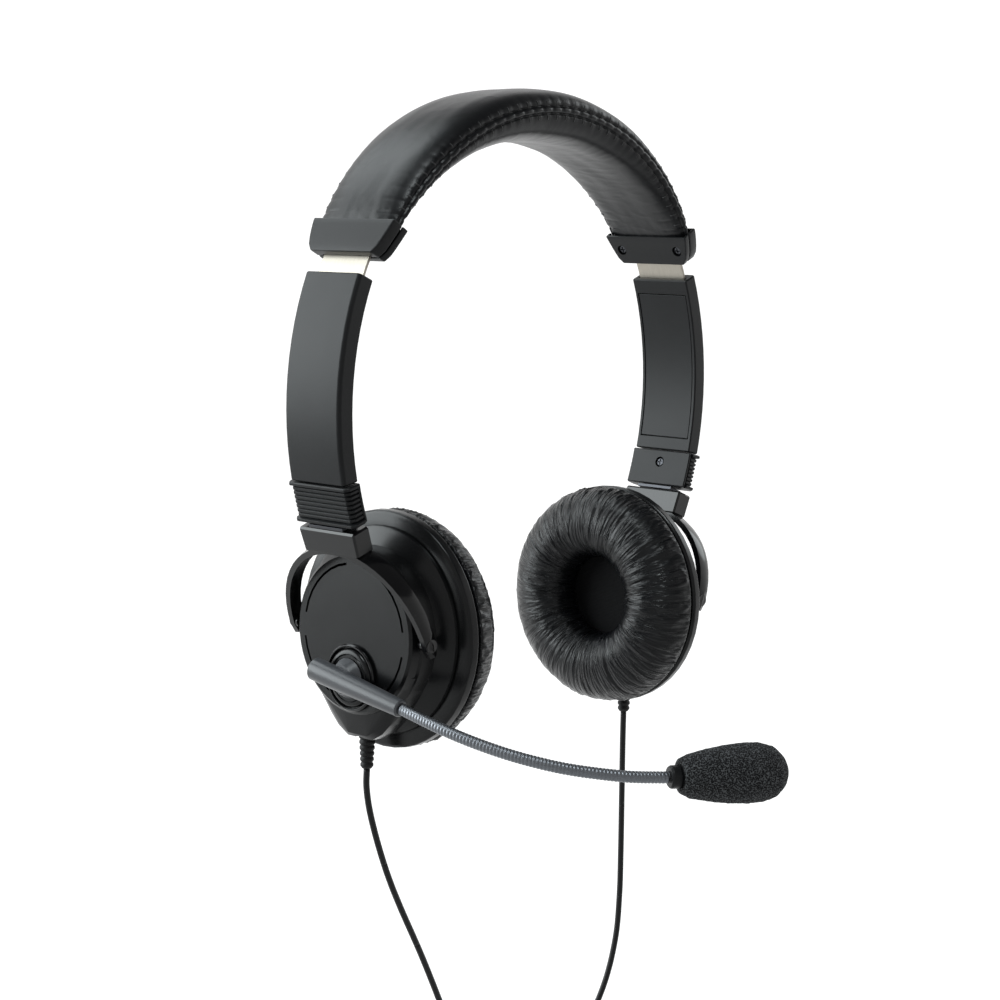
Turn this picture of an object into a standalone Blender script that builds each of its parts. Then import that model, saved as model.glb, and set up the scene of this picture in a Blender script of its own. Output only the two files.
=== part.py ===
"""Office headset: padded headband, two on-ear cups on sliding yokes, boom microphone and USB lead.

Units are metres and +Z is up. The origin is the middle of the ear axis, inside the wearer's head.
+X is the wearer's left and the wearer faces -Y. SIDES gives each side's sign along X.
Run it in Blender 4.5 to build the whole headset.
"""

import math

import bmesh
import bpy
from mathutils import Matrix, Vector

MM = 0.001
GAP = 0.3 * MM
SIDES = {"r": -1, "l": 1}

# The steel band is two side arcs and a crest arc, tangent to each other, seen along Y.
ARC_X, ARC_Z = -16.0 * MM, 72.0 * MM
BAND_R = 102.3 * MM
BAND_THICK, BAND_WIDTH = 0.9 * MM, 20.0 * MM
BAND_LOW, BAND_JOIN = math.radians(-6.0), math.radians(30.0)
CREST_R = BAND_R + ARC_X / math.cos(BAND_JOIN)
CREST_Z = ARC_Z + (BAND_R - CREST_R) * math.sin(BAND_JOIN)

# Headband cushion.
CUSHION_END = math.radians(31.2)
CUSHION_HALF_END, CUSHION_HALF_TOP = 16.5 * MM, 18.8 * MM
CUSHION_OUT_END, CUSHION_OUT_TOP = 2.5 * MM, 6.8 * MM
CUSHION_IN_END, CUSHION_IN_TOP = 2.1 * MM, 10.2 * MM

# End caps, which clamp the cushion to the band. Radii are from the side arc's centre.
CAP_LOW, CAP_HIGH = math.radians(26.1), math.radians(32.4)
CAP_SPLIT_R = 101.75 * MM
CAP_IN_R, CAP_OUT_R = 99.0 * MM, 106.0 * MM
CAP_HALF_LOW, CAP_HALF_HIGH = 13.4 * MM, 17.9 * MM
CAP_SCREW_ANGLE, CAP_SCREW_Y, CAP_SCREW_R = math.radians(29.2), 12.3 * MM, 99.5 * MM

# Rooms round the band and the cushion's end: inner and outer radius, angles in degrees, half width.
MOUTH_HALF, MOUTH_OUT_R = 10.45 * MM, 103.15 * MM
BAND_ROOM = (101.6 * MM, MOUTH_OUT_R, 25, 34, MOUTH_HALF)
PAD_ROOM = (99.75 * MM, 105.35 * MM, 30.8, 34, 17.0 * MM)

# Sliders.
SLIDER_IN_R, SLIDER_OUT_R = 99.9 * MM, 106.0 * MM
SLIDER_LOW, SLIDER_HIGH = math.radians(-13.0), math.radians(22.4)
SLIDER_HALF = 12.1 * MM
POCKET_LOW, POCKET_HIGH, POCKET_HALF = math.radians(-10.5), math.radians(19.4), 10.8 * MM
COVER_THICK = 1.1 * MM
SPRING_IN_R, SPRING_OUT_R = 101.25 * MM, 101.6 * MM

# Ribbed sleeve at the slider's foot.
SLEEVE_LOW, SLEEVE_HIGH = math.radians(-20.3), math.radians(-13.2)
SLEEVE_IN_R, SLEEVE_OUT_R, SLEEVE_HALF = 101.2 * MM, 105.3 * MM, 12.3 * MM
SLEEVE_RIBS, RIB_RISE, LIP_RISE = 9, 0.55 * MM, 1.2 * MM
SLEEVE_SCREW_ANGLE, SLEEVE_SCREW_R = math.radians(-15.6), SLIDER_IN_R + 0.35 * MM
SCREW_HEAD_R, SCREW_SHAFT_R = 1.55 * MM, 0.8 * MM

# Yoke. Its swivel axis leans with the slider's foot and meets the tilt axis at the pins.
SWIVEL_R = 103.2 * MM
LEAN = -SLEEVE_LOW
SWIVEL_X = ARC_X + SWIVEL_R * math.cos(LEAN)
SWIVEL_Z = ARC_Z - SWIVEL_R * math.sin(LEAN)
PIN_X = SWIVEL_X - SWIVEL_Z * math.tan(LEAN)
SWIVEL_UP = SWIVEL_Z / math.cos(LEAN)
FORK_IN, FORK_OUT = 28.7 * MM, 31.2 * MM
FORK_HALF_TOP, FORK_HALF_TIP = 3.4 * MM, 2.3 * MM
BLOCK_LOW, BLOCK_HIGH = 28.6 * MM, SWIVEL_UP - 1.7 * MM
BLOCK_IN, BLOCK_OUT, BLOCK_HALF = -3.6 * MM, 3.5 * MM, 12.3 * MM
SWIVEL_PIN_R, PIVOT_PIN_R = 1.5 * MM, 1.1 * MM

# Ear cups. Heights are along the ear axis, from the middle of the head outwards.
# Profiles are (radius, height) points in millimetres.
SHELL = [(0, 71.0), (24.6, 71.0), (25.5, 70.3), (25.9, 67.2), (26.7, 66.7), (27.3, 61.9), (31.4, 60.3),
         (33.0, 59.3), (33.2, 58.3), (0, 58.3)]
SHELL_ROOM = [(0, 69.2), (22.9, 69.2), (23.8, 66.5), (25.4, 61.5), (29.9, 59.6), (31.4, 58.6), (31.6, 57.8),
              (0, 57.8)]
BAFFLE = [(33.0, 58.0), (36.7, 57.7), (37.9, 56.9), (38.1, 54.3), (37.3, 53.6), (14.6, 53.6), (14.6, 55.2),
          (29.0, 55.2), (30.4, 58.0)]
DRIVER = [(0, 62.0), (10.6, 62.0), (11.2, 61.2), (11.2, 58.2), (17.4, 56.9), (19.0, 56.6), (19.0, 55.5),
          (0, 55.5)]
CLOTH = [(0, 53.3), (18, 53.3), (18, 52.9), (0, 52.9)]
PAD = [(37.2, 52.6), (37.7, 51.3), (37.3, 48.5), (36.3, 45.8), (33.9, 42.8), (30.4, 40.6), (26.2, 39.4),
       (22.0, 39.5), (18.4, 41.0), (15.6, 43.55), (14.1, 46.9), (13.9, 49.85), (14.6, 52.6)]
SLOT_LOW, SLOT_HIGH = 68.0 * MM, 72.0 * MM
SLOT_R, SLOT_WIDE = 22.0 * MM, 0.8 * MM
NECK_H, NECK_LOW = 64.0 * MM, -33.5 * MM
# The chin's cross-sections: (half width, z), down to the neck.
CHIN = [(13.2 * MM, -27.6 * MM), (9.8 * MM, -31.0 * MM), (5.4 * MM, NECK_LOW)]
RELIEF_HIGH, RELIEF_LOW = -25.5 * MM, -43.8 * MM

# Boom and microphone.
BOOM_Z = -13.8 * MM
BOOM_DROP = math.radians(9.8)
BOOM_H = 76.6 * MM
BOOM_BACK, BOOM_FRONT = 11.4 * MM, -27.4 * MM
BOOM_BACK_R, BOOM_FRONT_R = 3.7 * MM, 2.75 * MM
NECK_R = 1.85 * MM
MIC_HEADING = math.radians(60.0)
MIC_START = Vector((-36.2, -98.9, -33.2)) * MM
FOAM_START, FOAM_LONG = 3.7, 34.5

# Lead.
BRANCH_R, LEAD_R = 1.05 * MM, 1.6 * MM
SPLIT_HIGH, SPLIT_LOW = -200.0 * MM, -217.0 * MM
COIL_X, COIL_Z = 8.0 * MM, -256.0 * MM
COIL_IN, COIL_OUT, COIL_HALF = 15.7 * MM, 22.6 * MM, 12.2 * MM
PLUG_X, PLUG_Y = COIL_X + 17.5 * MM, -14.3 * MM
PLUG_HIGH, PLUG_SHOULDER, PLUG_END = -272.0 * MM, -305.0 * MM, -317.0 * MM

# The smooth route of each lead passes through these points, top to bottom.
BRANCH_ROUTES = {
    "r": [(-64, 0, -44.1), (-64, 0, -50), (-62.4, 0, -58), (-58.7, 0, -69), (-53.7, 0, -81), (-47.6, 0, -93),
          (-36, 0, -114), (-22, 0, -142), (-10, 0, -168), (-4.5, 0, -186), (-3.6, 0, -194),
          (-3.6, 0, -199.7)],
    "l": [(64, 0, -44.1), (64.1, 0, -56), (64.5, 0, -75), (64.9, 0, -95), (64.9, 0, -112), (63.3, 0, -128),
          (57.5, 0, -144), (46, 0, -159.5), (30, 0, -174), (14, 0, -185.5), (5.4, 0, -193.5),
          (3.6, 0, -199.7)],
}
LEAD_ROUTE = [(0, 0, -217.3), (0, 0, -219.5), (0.1, -1.6, -223), (0.4, -5.0, -227.0), (1.3, -8.3, -230.2),
              (2.9, -9.9, -231.8)]
TAIL_ROUTE = [(25.5, -14.3, -257), (25.5, -14.3, -261), (25.5, -14.3, -266), (25.5, -14.3, -271.7)]
NECK_ROUTE = [(-76.6, -27.7, -18.6), (-76.5, -34, -19.9), (-75.6, -43.8, -22.2), (-73.1, -53, -24.6),
              (-68.9, -63.4, -27.2), (-63.7, -73, -29.3), (-57.6, -81.3, -30.9), (-47.4, -91.3, -32.5),
              (-38.8, -97.4, -33.1), (-36.4, -98.8, -33.2)]

COLOURS = {
    "abs_satin": ((0.022, 0.023, 0.024), 0.42, 0.0),
    "abs_gloss": ((0.014, 0.014, 0.015), 0.2, 0.0),
    "leatherette": ((0.016, 0.016, 0.018), 0.38, 0.0),
    "pad_leatherette": ((0.012, 0.013, 0.014), 0.3, 0.0),
    "band_steel": ((0.62, 0.61, 0.59), 0.32, 1.0),
    "screw_steel": ((0.1, 0.1, 0.105), 0.4, 1.0),
    "neck_metal": ((0.16, 0.165, 0.175), 0.42, 1.0),
    "foam": ((0.012, 0.012, 0.012), 0.95, 0.0),
    "cloth": ((0.008, 0.008, 0.009), 0.9, 0.0),
    "lead_pvc": ((0.012, 0.012, 0.013), 0.45, 0.0),
    "plug_nickel": ((0.6, 0.59, 0.56), 0.25, 1.0),
    "driver_metal": ((0.4, 0.4, 0.4), 0.4, 1.0),
    "tongue_white": ((0.7, 0.7, 0.68), 0.4, 0.0),
}


def clear_scene():
    for thing in list(bpy.data.objects):
        bpy.data.objects.remove(thing)


def collection(name):
    made = bpy.data.collections.new(name)
    bpy.context.scene.collection.children.link(made)
    return made


def material(name):
    found = bpy.data.materials.get(name)
    if found:
        return found
    colour, roughness, metallic = COLOURS[name]
    made = bpy.data.materials.new(name)
    made.use_nodes = True
    shader = made.node_tree.nodes["Principled BSDF"]
    shader.inputs["Base Color"].default_value = (*colour, 1)
    shader.inputs["Roughness"].default_value = roughness
    shader.inputs["Metallic"].default_value = metallic
    return made


def pivot(name, place, parent=None):
    """An empty on a joint's axis."""
    empty = bpy.data.objects.new(name, None)
    PARTS.objects.link(empty)
    empty.empty_display_size = 10 * MM
    hang(empty, place, parent)
    return empty


def hang(obj, place, parent):
    """Puts obj at a place in the world, under a parent that isn't turned."""
    obj.location = Vector(place)
    above = parent
    while above:
        obj.location -= above.location
        above = above.parent
    obj.parent = parent


def add(name, bm, finish, parent=None, place=(0, 0, 0), turn=(0, 0, 0), cutter=False):
    """Makes an object from bm, whose points are in the object's own axes."""
    bmesh.ops.recalc_face_normals(bm, faces=bm.faces)
    mesh = bpy.data.meshes.new(name)
    bm.to_mesh(mesh)
    bm.free()
    return add_mesh(name, mesh, finish, parent, place, turn, cutter)


def add_mesh(name, mesh, finish, parent=None, place=(0, 0, 0), turn=(0, 0, 0), cutter=False):
    obj = bpy.data.objects.new(name, mesh)
    if cutter:
        CUTTERS.objects.link(obj)
        obj.hide_render = True
        obj.display_type = "WIRE"
    else:
        PARTS.objects.link(obj)
        mesh.materials.append(material(finish))
        mesh.shade_smooth()
        mesh.set_sharp_from_angle(angle=math.radians(35))
    obj.rotation_euler = turn
    hang(obj, place, parent)
    return obj


def boolean(obj, other, operation="DIFFERENCE", solver="EXACT"):
    modifier = obj.modifiers.new(other.name, "BOOLEAN")
    modifier.operation = operation
    modifier.solver = solver
    modifier.object = other


def bevel(obj, width, segments=2, angle=40):
    modifier = obj.modifiers.new("edges", "BEVEL")
    modifier.width = width
    modifier.segments = segments
    modifier.limit_method = "ANGLE"
    modifier.angle_limit = math.radians(angle)


def shift(bm, side, place):
    """Mirrors a left piece for the right side, and moves its points to start from a place."""
    if side < 0:
        bmesh.ops.scale(bm, vec=(-1, 1, 1), verts=bm.verts)
    bmesh.ops.translate(bm, vec=-Vector(place), verts=bm.verts)


def loop_edges(bm, points):
    verts = [bm.verts.new(p) for p in points]
    return verts + [bm.edges.new((a, b)) for a, b in zip(verts, verts[1:] + verts[:1])]


def close_ends(bm):
    open_edges = [edge for edge in bm.edges if len(edge.link_faces) == 1]
    bmesh.ops.holes_fill(bm, edges=open_edges)


def on_arc(radius, angle, y=0.0):
    """A point by radius and angle from the left side arc's centre."""
    return Vector((ARC_X + radius * math.cos(angle), y, ARC_Z + radius * math.sin(angle)))


def arc_bar(r_in, r_out, low, high, half, steps, corner=0.0):
    """A bar that follows the left side arc, of rectangular section with optional cut corners."""
    bm = bmesh.new()
    c = corner
    outline = [(r_in, -half), (r_out - c, -half), (r_out, c - half), (r_out, half - c), (r_out - c, half),
               (r_in, half)]
    if not c:
        outline = [(r_in, -half), (r_out, -half), (r_out, half), (r_in, half)]
    ring = loop_edges(bm, [on_arc(r, low, y) for r, y in outline])
    centre = (ARC_X, 0, ARC_Z)
    bmesh.ops.spin(bm, geom=ring, cent=centre, axis=(0, -1, 0), angle=high - low, steps=steps)
    close_ends(bm)
    return bm


def arc_angle(point):
    return math.atan2(point.z - ARC_Z, point.x - ARC_X)


def arc_radius(point):
    return math.hypot(point.z - ARC_Z, point.x - ARC_X)


def turned(name, profile, finish, steps=32, parent=None, place=(0, 0, 0), turn=(0, 0, 0), cutter=False,
           ring=False):
    """A turned piece from (radius, height) points that run down its outer side."""
    mesh = bpy.data.meshes.new(name)
    edges = [(i, i + 1) for i in range(len(profile) - 1)]
    if ring:
        edges.append((len(profile) - 1, 0))
    mesh.from_pydata([(r, 0, h) for r, h in profile], edges, [])
    obj = add_mesh(name, mesh, finish, parent, place, turn, cutter)
    screw = obj.modifiers.new("turn", "SCREW")
    screw.steps = screw.render_steps = steps
    screw.use_merge_vertices = True
    screw.merge_threshold = 0.005 * MM
    screw.use_smooth_shade = True
    return obj


def ear_turn(side):
    """Turns a piece's own Z to point outwards along the ear axis."""
    return (0, side * math.pi / 2, 0)


def smooth_route(points, spacing):
    """Even points along a smooth curve through the route's own points, which are in millimetres."""
    route = [Vector(p) * MM for p in points]
    ends = [2 * route[0] - route[1], *route, 2 * route[-1] - route[-2]]
    fine = []
    for a, b, c, d in zip(ends, ends[1:], ends[2:], ends[3:]):
        for k in range(24):
            t = k / 24
            fine.append(0.5 * (2 * b + (c - a) * t + (2 * a - 5 * b + 4 * c - d) * t * t
                               + (3 * b - a - 3 * c + d) * t ** 3))
    fine.append(route[-1])
    length = sum((q - p).length for p, q in zip(fine, fine[1:]))
    count = max(3, round(length / spacing))
    even, walked, goal = [fine[0]], 0.0, length / count
    for p, q in zip(fine, fine[1:]):
        step = (q - p).length
        while walked + step >= goal and len(even) < count:
            even.append(p.lerp(q, (goal - walked) / step))
            goal += length / count
        walked += step
    return even + [fine[-1]]


def tube(name, points, radius, finish, parent=None):
    """A round tube along points in the world."""
    curve = bpy.data.curves.new(name, "CURVE")
    curve.dimensions = "3D"
    curve.bevel_depth = radius
    curve.bevel_resolution = 2
    curve.use_fill_caps = True
    spline = curve.splines.new("POLY")
    spline.points.add(len(points) - 1)
    obj = bpy.data.objects.new(name, curve)
    PARTS.objects.link(obj)
    hang(obj, points[0], parent)
    for knot, point in zip(spline.points, points):
        knot.co = (*(point - points[0]), 1)
    spline.use_smooth = True
    curve.materials.append(material(finish))
    return obj


# Headband


def spring_band():
    half_t, half_w = BAND_THICK / 2, BAND_WIDTH / 2
    bm = bmesh.new()
    corners = [(-half_t, -half_w), (half_t, -half_w), (half_t, half_w), (-half_t, half_w)]
    ring = loop_edges(bm, [on_arc(BAND_R + r, BAND_LOW, y) for r, y in corners])
    turns = [(ARC_X, ARC_Z, BAND_JOIN - BAND_LOW, 12), (0, CREST_Z, math.pi - 2 * BAND_JOIN, 28),
             (-ARC_X, ARC_Z, BAND_JOIN - BAND_LOW, 12)]
    for x, z, angle, steps in turns:
        spun = bmesh.ops.spin(bm, geom=ring, cent=(x, 0, z), axis=(0, -1, 0), angle=angle, steps=steps)
        ring = spun["geom_last"]
    close_ends(bm)
    return add("spring_band", bm, "band_steel")


def band_frame(along):
    """The band's point and outward direction, for along from -1 at the right cap to 1 at the left."""
    side = 1 if along > 0 else -1
    angle = math.pi / 2 - abs(along) * (math.pi / 2 - CUSHION_END)
    out = Vector((side * math.cos(angle), 0, math.sin(angle)))
    return Vector((0, 0, CREST_Z)) + out * CREST_R, out


def headband_cushion():
    """A padded sleeve round the band: a loft with a slot through it for the band."""
    stations, around = 24, 16
    bm = bmesh.new()
    skins, slots = [], []
    for k in range(stations + 1):
        along = math.sin((2 * k / stations - 1) * math.pi / 2)
        middle, out = band_frame(along)
        fill = (1 - abs(along) ** 2.6) ** 0.75
        half = CUSHION_HALF_END + (CUSHION_HALF_TOP - CUSHION_HALF_END) * fill
        above = CUSHION_OUT_END + (CUSHION_OUT_TOP - CUSHION_OUT_END) * fill
        below = CUSHION_IN_END + (CUSHION_IN_TOP - CUSHION_IN_END) * (1 - abs(along) ** 1.8) ** 1.1
        skin, slot = [], []
        for i in range(around):
            c, s = math.cos(2 * math.pi * i / around), math.sin(2 * math.pi * i / around)
            y = half * math.copysign(abs(c) ** 0.6, c)
            rise = math.copysign(abs(s) ** 0.75, s) * (above if s > 0 else below)
            skin.append(bm.verts.new(middle + out * rise + Vector((0, y, 0))))
            level = 0.9 * MM * (s > 0.01) - 0.9 * MM * (s < -0.01)
            slot.append(bm.verts.new(middle + out * level + Vector((0, 10.95 * MM * c, 0))))
        skins.append(skin)
        slots.append(slot)
    for rings in (skins, slots):
        for first, second in zip(rings, rings[1:]):
            for i in range(around):
                j = (i + 1) % around
                bm.faces.new((first[i], first[j], second[j], second[i]))
    for k in (0, stations):
        for i in range(around):
            j = (i + 1) % around
            bm.faces.new((skins[k][i], skins[k][j], slots[k][j], slots[k][i]))
    return add("headband_cushion", bm, "leatherette")


def cap_half(bm):
    """Tapers a cap's sides towards its foot and rounds them in."""
    for vert in bm.verts:
        t = (arc_angle(vert.co) - CAP_LOW) / (CAP_HIGH - CAP_LOW)
        half = CAP_HALF_LOW + (CAP_HALF_HIGH - CAP_HALF_LOW) * min(1, max(0, t)) ** 0.55
        vert.co.y *= half / CAP_HALF_HIGH
    return bm


def screw_frame(side, angle, y, radius):
    """A screw's place and turn: its own Z points out of the inner face, towards the head."""
    point = on_arc(radius, angle, y)
    point.x *= side
    inwards = Vector((-side * math.cos(angle), 0, -math.sin(angle)))
    return point, inwards.to_track_quat("Z", "Y").to_euler()


def screw(name, side, angle, y, radius, long, parent):
    """A pan screw with a cross recess, and the cutter of its hole."""
    place, turn = screw_frame(side, angle, y, radius)
    head, shaft = SCREW_HEAD_R, SCREW_SHAFT_R
    profile = [(0, 0), (head * 0.8, -0.05 * MM), (head, -0.3 * MM), (head, -0.9 * MM), (shaft, -0.9 * MM),
               (shaft, -long), (0, -long)]
    body = turned(name, profile, "screw_steel", 12, parent, place, turn)
    bm = bmesh.new()
    for wide, deep in ((2.1, 0.5), (0.5, 2.1)):
        made = bmesh.ops.create_cube(bm, size=1)["verts"]
        bmesh.ops.scale(bm, vec=(wide * MM, deep * MM, 1.1 * MM), verts=made)
    cross = add(name + "_cross", bm, None, parent, place, turn, cutter=True)
    boolean(body, cross)
    body.modifiers[-1].use_self = True  # the cross is two boxes through each other
    room = [(0, 4 * MM), (head + 0.35 * MM, 4 * MM), (head + 0.35 * MM, -1.2 * MM), (shaft + GAP, -1.2 * MM),
            (shaft + GAP, -long - 0.4 * MM), (0, -long - 0.4 * MM)]
    return turned(name + "_hole", room, None, 12, parent, place, turn, cutter=True)


def end_caps(name, side):
    band_room = add(f"band_room_{name}", cap_room(side, *BAND_ROOM), None, cutter=True)
    pad_room = add(f"pad_room_{name}", cap_room(side, *PAD_ROOM), None, cutter=True)
    bm = cap_half(arc_bar(CAP_SPLIT_R, CAP_OUT_R, CAP_LOW, CAP_HIGH, CAP_HALF_HIGH, 5))
    shift(bm, side, (0, 0, 0))
    outer = add(f"end_cap_outer_{name}", bm, "abs_satin")
    bm = cap_half(arc_bar(CAP_IN_R, CAP_SPLIT_R - GAP, CAP_LOW, CAP_HIGH, CAP_HALF_HIGH, 5))
    shift(bm, side, (0, 0, 0))
    inner = add(f"end_cap_inner_{name}", bm, "abs_satin")
    bevel(outer, 0.7 * MM)
    bevel(inner, 0.5 * MM)
    for cap in (outer, inner):
        boolean(cap, band_room, solver="MANIFOLD")
        boolean(cap, pad_room, solver="MANIFOLD")
    for label, y in (("front", -CAP_SCREW_Y), ("back", CAP_SCREW_Y)):
        hole = screw(f"cap_screw_{name}_{label}", side, CAP_SCREW_ANGLE, y, CAP_SCREW_R, 5 * MM, None)
        boolean(outer, hole, solver="MANIFOLD")
        boolean(inner, hole, solver="MANIFOLD")


def cap_room(side, r_in, r_out, low, high, half):
    bm = arc_bar(r_in, r_out, math.radians(low), math.radians(high), half, 4)
    shift(bm, side, (0, 0, 0))
    return bm


# Sliders


def slider(name, side, parent):
    hub = parent.location

    def bar(label, finish, shape, steps, corner=0.0, cutter=False):
        bm = arc_bar(*shape, steps, corner)
        shift(bm, side, hub)
        return add(label, bm, finish, parent, hub, cutter=cutter)

    shell = bar(f"slider_shell_{name}", "abs_satin",
                (SLIDER_IN_R, SLIDER_OUT_R, SLIDER_LOW, SLIDER_HIGH, SLIDER_HALF), 12, 0.9 * MM)
    bevel(shell, 0.4 * MM, 1)
    room = (98 * MM, MOUTH_OUT_R, POCKET_LOW, POCKET_HIGH, POCKET_HALF)
    pocket = bar(f"pocket_{name}", None, room, 12, cutter=True)
    room = (101.45 * MM, MOUTH_OUT_R, POCKET_HIGH - 0.02, SLIDER_HIGH + 0.03, MOUTH_HALF)
    mouth = bar(f"mouth_{name}", None, room, 2, cutter=True)
    boolean(shell, pocket)
    boolean(shell, mouth)
    bar(f"slider_cover_{name}", "abs_satin",
        (SLIDER_IN_R + 0.1 * MM, SLIDER_IN_R + COVER_THICK, POCKET_LOW + 0.004, POCKET_HIGH - 0.004,
         POCKET_HALF - GAP), 12)
    bar(f"detent_spring_{name}", "band_steel",
        (SPRING_IN_R, SPRING_OUT_R, math.radians(6), math.radians(12), 4 * MM), 3)
    sleeve(name, side, parent)


def sleeve(name, side, parent):
    """The ribbed sleeve: nine ribs, of which the first and last are raised lips."""
    hub = parent.location
    bm = arc_bar(SLEEVE_IN_R, SLEEVE_OUT_R, SLEEVE_LOW, SLEEVE_HIGH, SLEEVE_HALF, SLEEVE_RIBS * 4, 1.4 * MM)
    middle = SLEEVE_IN_R + 0.01 * MM
    for vert in bm.verts:
        t = (arc_angle(vert.co) - SLEEVE_LOW) / (SLEEVE_HIGH - SLEEVE_LOW) * SLEEVE_RIBS
        rib = min(SLEEVE_RIBS - 1, int(t + 1e-4))
        place = t - rib
        lip = rib in (0, SLEEVE_RIBS - 1)
        rise = (LIP_RISE if lip else RIB_RISE) * (1 if 0.2 < place < 0.8 else 0.0)
        if lip and (t < 0.1 or t > SLEEVE_RIBS - 0.1):
            rise = LIP_RISE * 0.7
        radius = arc_radius(vert.co)
        if radius > middle:
            out = Vector((vert.co.x - ARC_X, 0, vert.co.z - ARC_Z)).normalized()
            vert.co += out * rise
        vert.co.y += math.copysign(rise, vert.co.y)
    shift(bm, side, hub)
    outer = add(f"ribbed_sleeve_{name}", bm, "abs_satin", parent, hub)
    bm = arc_bar(SLIDER_IN_R, SLEEVE_IN_R - GAP, SLEEVE_LOW, SLEEVE_HIGH, SLEEVE_HALF + RIB_RISE, 4)
    shift(bm, side, hub)
    cover = add(f"sleeve_cover_{name}", bm, "abs_satin", parent, hub)
    bevel(cover, 0.3 * MM, 1)
    hole = screw(f"sleeve_screw_{name}", side, SLEEVE_SCREW_ANGLE, 0, SLEEVE_SCREW_R, 4 * MM, parent)
    boolean(outer, hole)
    boolean(cover, hole)
    wide = SWIVEL_PIN_R + GAP
    profile = [(0, 4.6 * MM), (wide, 4.6 * MM), (wide, -2 * MM), (0, -2 * MM)]
    bore = turned(f"swivel_bore_{name}", profile, None, 16, parent, swivel_place(side), (0, side * LEAN, 0),
                  cutter=True)
    boolean(outer, bore)


def swivel_place(side):
    return Vector((side * SWIVEL_X, 0, SWIVEL_Z))


# Yokes


def yoke(name, side, parent):
    """Fork, swivel pin and pivot pins. Their own Z leans with the swivel axis, from the pins' height."""
    base = Vector((side * PIN_X, 0, 0))
    lean = (0, side * LEAN, 0)
    bm = bmesh.new()
    end = math.radians(97)
    mean = (FORK_IN + FORK_OUT) / 2
    half_r = (FORK_OUT - FORK_IN) / 2
    steps = 28
    rings = []
    for k in range(steps + 1):
        a = -end + 2 * end * k / steps
        t = min(1, abs(a) / math.radians(85))
        half_n = FORK_HALF_TOP + (FORK_HALF_TIP - FORK_HALF_TOP) * t
        half_n *= 1 if abs(a) < math.radians(91) else 0.62
        crown = half_r * 0.45
        section = [(-half_n, -half_r), (half_n, -half_r), (half_n, half_r - crown), (0, half_r),
                   (-half_n, half_r - crown)]
        places = [(n, (mean + r) * math.sin(a), (mean + r) * math.cos(a)) for n, r in section]
        rings.append([bm.verts.new(place) for place in places])
    for first, second in zip(rings, rings[1:]):
        for i in range(5):
            j = (i + 1) % 5
            bm.faces.new((first[i], first[j], second[j], second[i]))
    bm.faces.new(rings[0])
    bm.faces.new(rings[-1])
    fork = add(f"yoke_fork_{name}", bm, "abs_gloss", parent, base, lean)
    bm = bmesh.new()
    made = bmesh.ops.create_cube(bm, size=1)["verts"]
    thick = BLOCK_OUT - BLOCK_IN
    bmesh.ops.scale(bm, vec=(thick, 2 * BLOCK_HALF, BLOCK_HIGH - BLOCK_LOW), verts=made)
    for vert in made:
        if vert.co.z < 0:
            vert.co.y *= 0.97
    middle = Vector((side * (BLOCK_OUT + BLOCK_IN) / 2, 0, (BLOCK_HIGH + BLOCK_LOW) / 2))
    bmesh.ops.translate(bm, vec=middle, verts=made)
    bmesh.ops.bevel(bm, geom=bm.edges[:], offset=0.6 * MM, segments=1, affect="EDGES")
    block = add(f"yoke_block_{name}", bm, None, parent, base, lean, cutter=True)
    boolean(fork, block, "UNION")
    bosses = bmesh.new()
    for way in (-1, 1):
        place = Matrix.Translation((0, way * (mean - 0.6 * MM), 0)) @ Matrix.Rotation(math.pi / 2, 4, "X")
        bmesh.ops.create_cone(bosses, cap_ends=True, segments=16, radius1=2.1 * MM, radius2=2.1 * MM,
                              depth=3.4 * MM, matrix=place)
    boss = add(f"fork_boss_{name}", bosses, None, parent, base, lean, cutter=True)
    boolean(fork, boss, "UNION")
    holes = bmesh.new()
    for way in (-1, 1):
        middle = (0, way * (FORK_OUT - 3.6 * MM), 0)
        place = Matrix.Translation(middle) @ Matrix.Rotation(math.pi / 2, 4, "X")
        bmesh.ops.create_cone(holes, cap_ends=True, segments=12, radius1=PIVOT_PIN_R + GAP,
                              radius2=PIVOT_PIN_R + GAP, depth=5.4 * MM, matrix=place)
    place = Matrix.Translation((0, 0, BLOCK_HIGH))
    bmesh.ops.create_cone(holes, cap_ends=True, segments=16, radius1=SWIVEL_PIN_R + GAP,
                          radius2=SWIVEL_PIN_R + GAP, depth=13 * MM, matrix=place)
    boolean(fork, add(f"fork_holes_{name}", holes, None, parent, base, lean, cutter=True))
    swivel_pin(name, parent, base, lean)
    for way, label in ((-1, "front"), (1, "back")):
        bm = bmesh.new()
        bmesh.ops.create_cone(bm, cap_ends=True, segments=12, radius1=PIVOT_PIN_R, radius2=PIVOT_PIN_R,
                              depth=5.6 * MM, matrix=Matrix.Rotation(math.pi / 2, 4, "X"))
        middle = base + Vector((0, way * (FORK_OUT - 4.3 * MM), 0))
        add(f"pivot_pin_{name}_{label}", bm, "screw_steel", parent, middle)


def swivel_pin(name, parent, base, lean):
    """A steel pin with a stop plate under the sleeve."""
    r = SWIVEL_PIN_R
    low, high = BLOCK_HIGH - 6.2 * MM, SWIVEL_UP + 4.2 * MM
    pin = turned(f"swivel_pin_{name}", [(0, high), (r, high), (r, low), (0, low)], "plug_nickel", 16,
                 parent, base, lean)
    bm = bmesh.new()
    made = bmesh.ops.create_cube(bm, size=1)["verts"]
    bmesh.ops.scale(bm, vec=(6.2 * MM, 15 * MM, 1.0 * MM), verts=made)
    bmesh.ops.translate(bm, vec=(0, 0, SWIVEL_UP - 0.85 * MM), verts=made)
    plate = add(f"stop_plate_{name}", bm, None, parent, base, lean, cutter=True)
    boolean(pin, plate, "UNION")


# Ear cups


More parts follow.
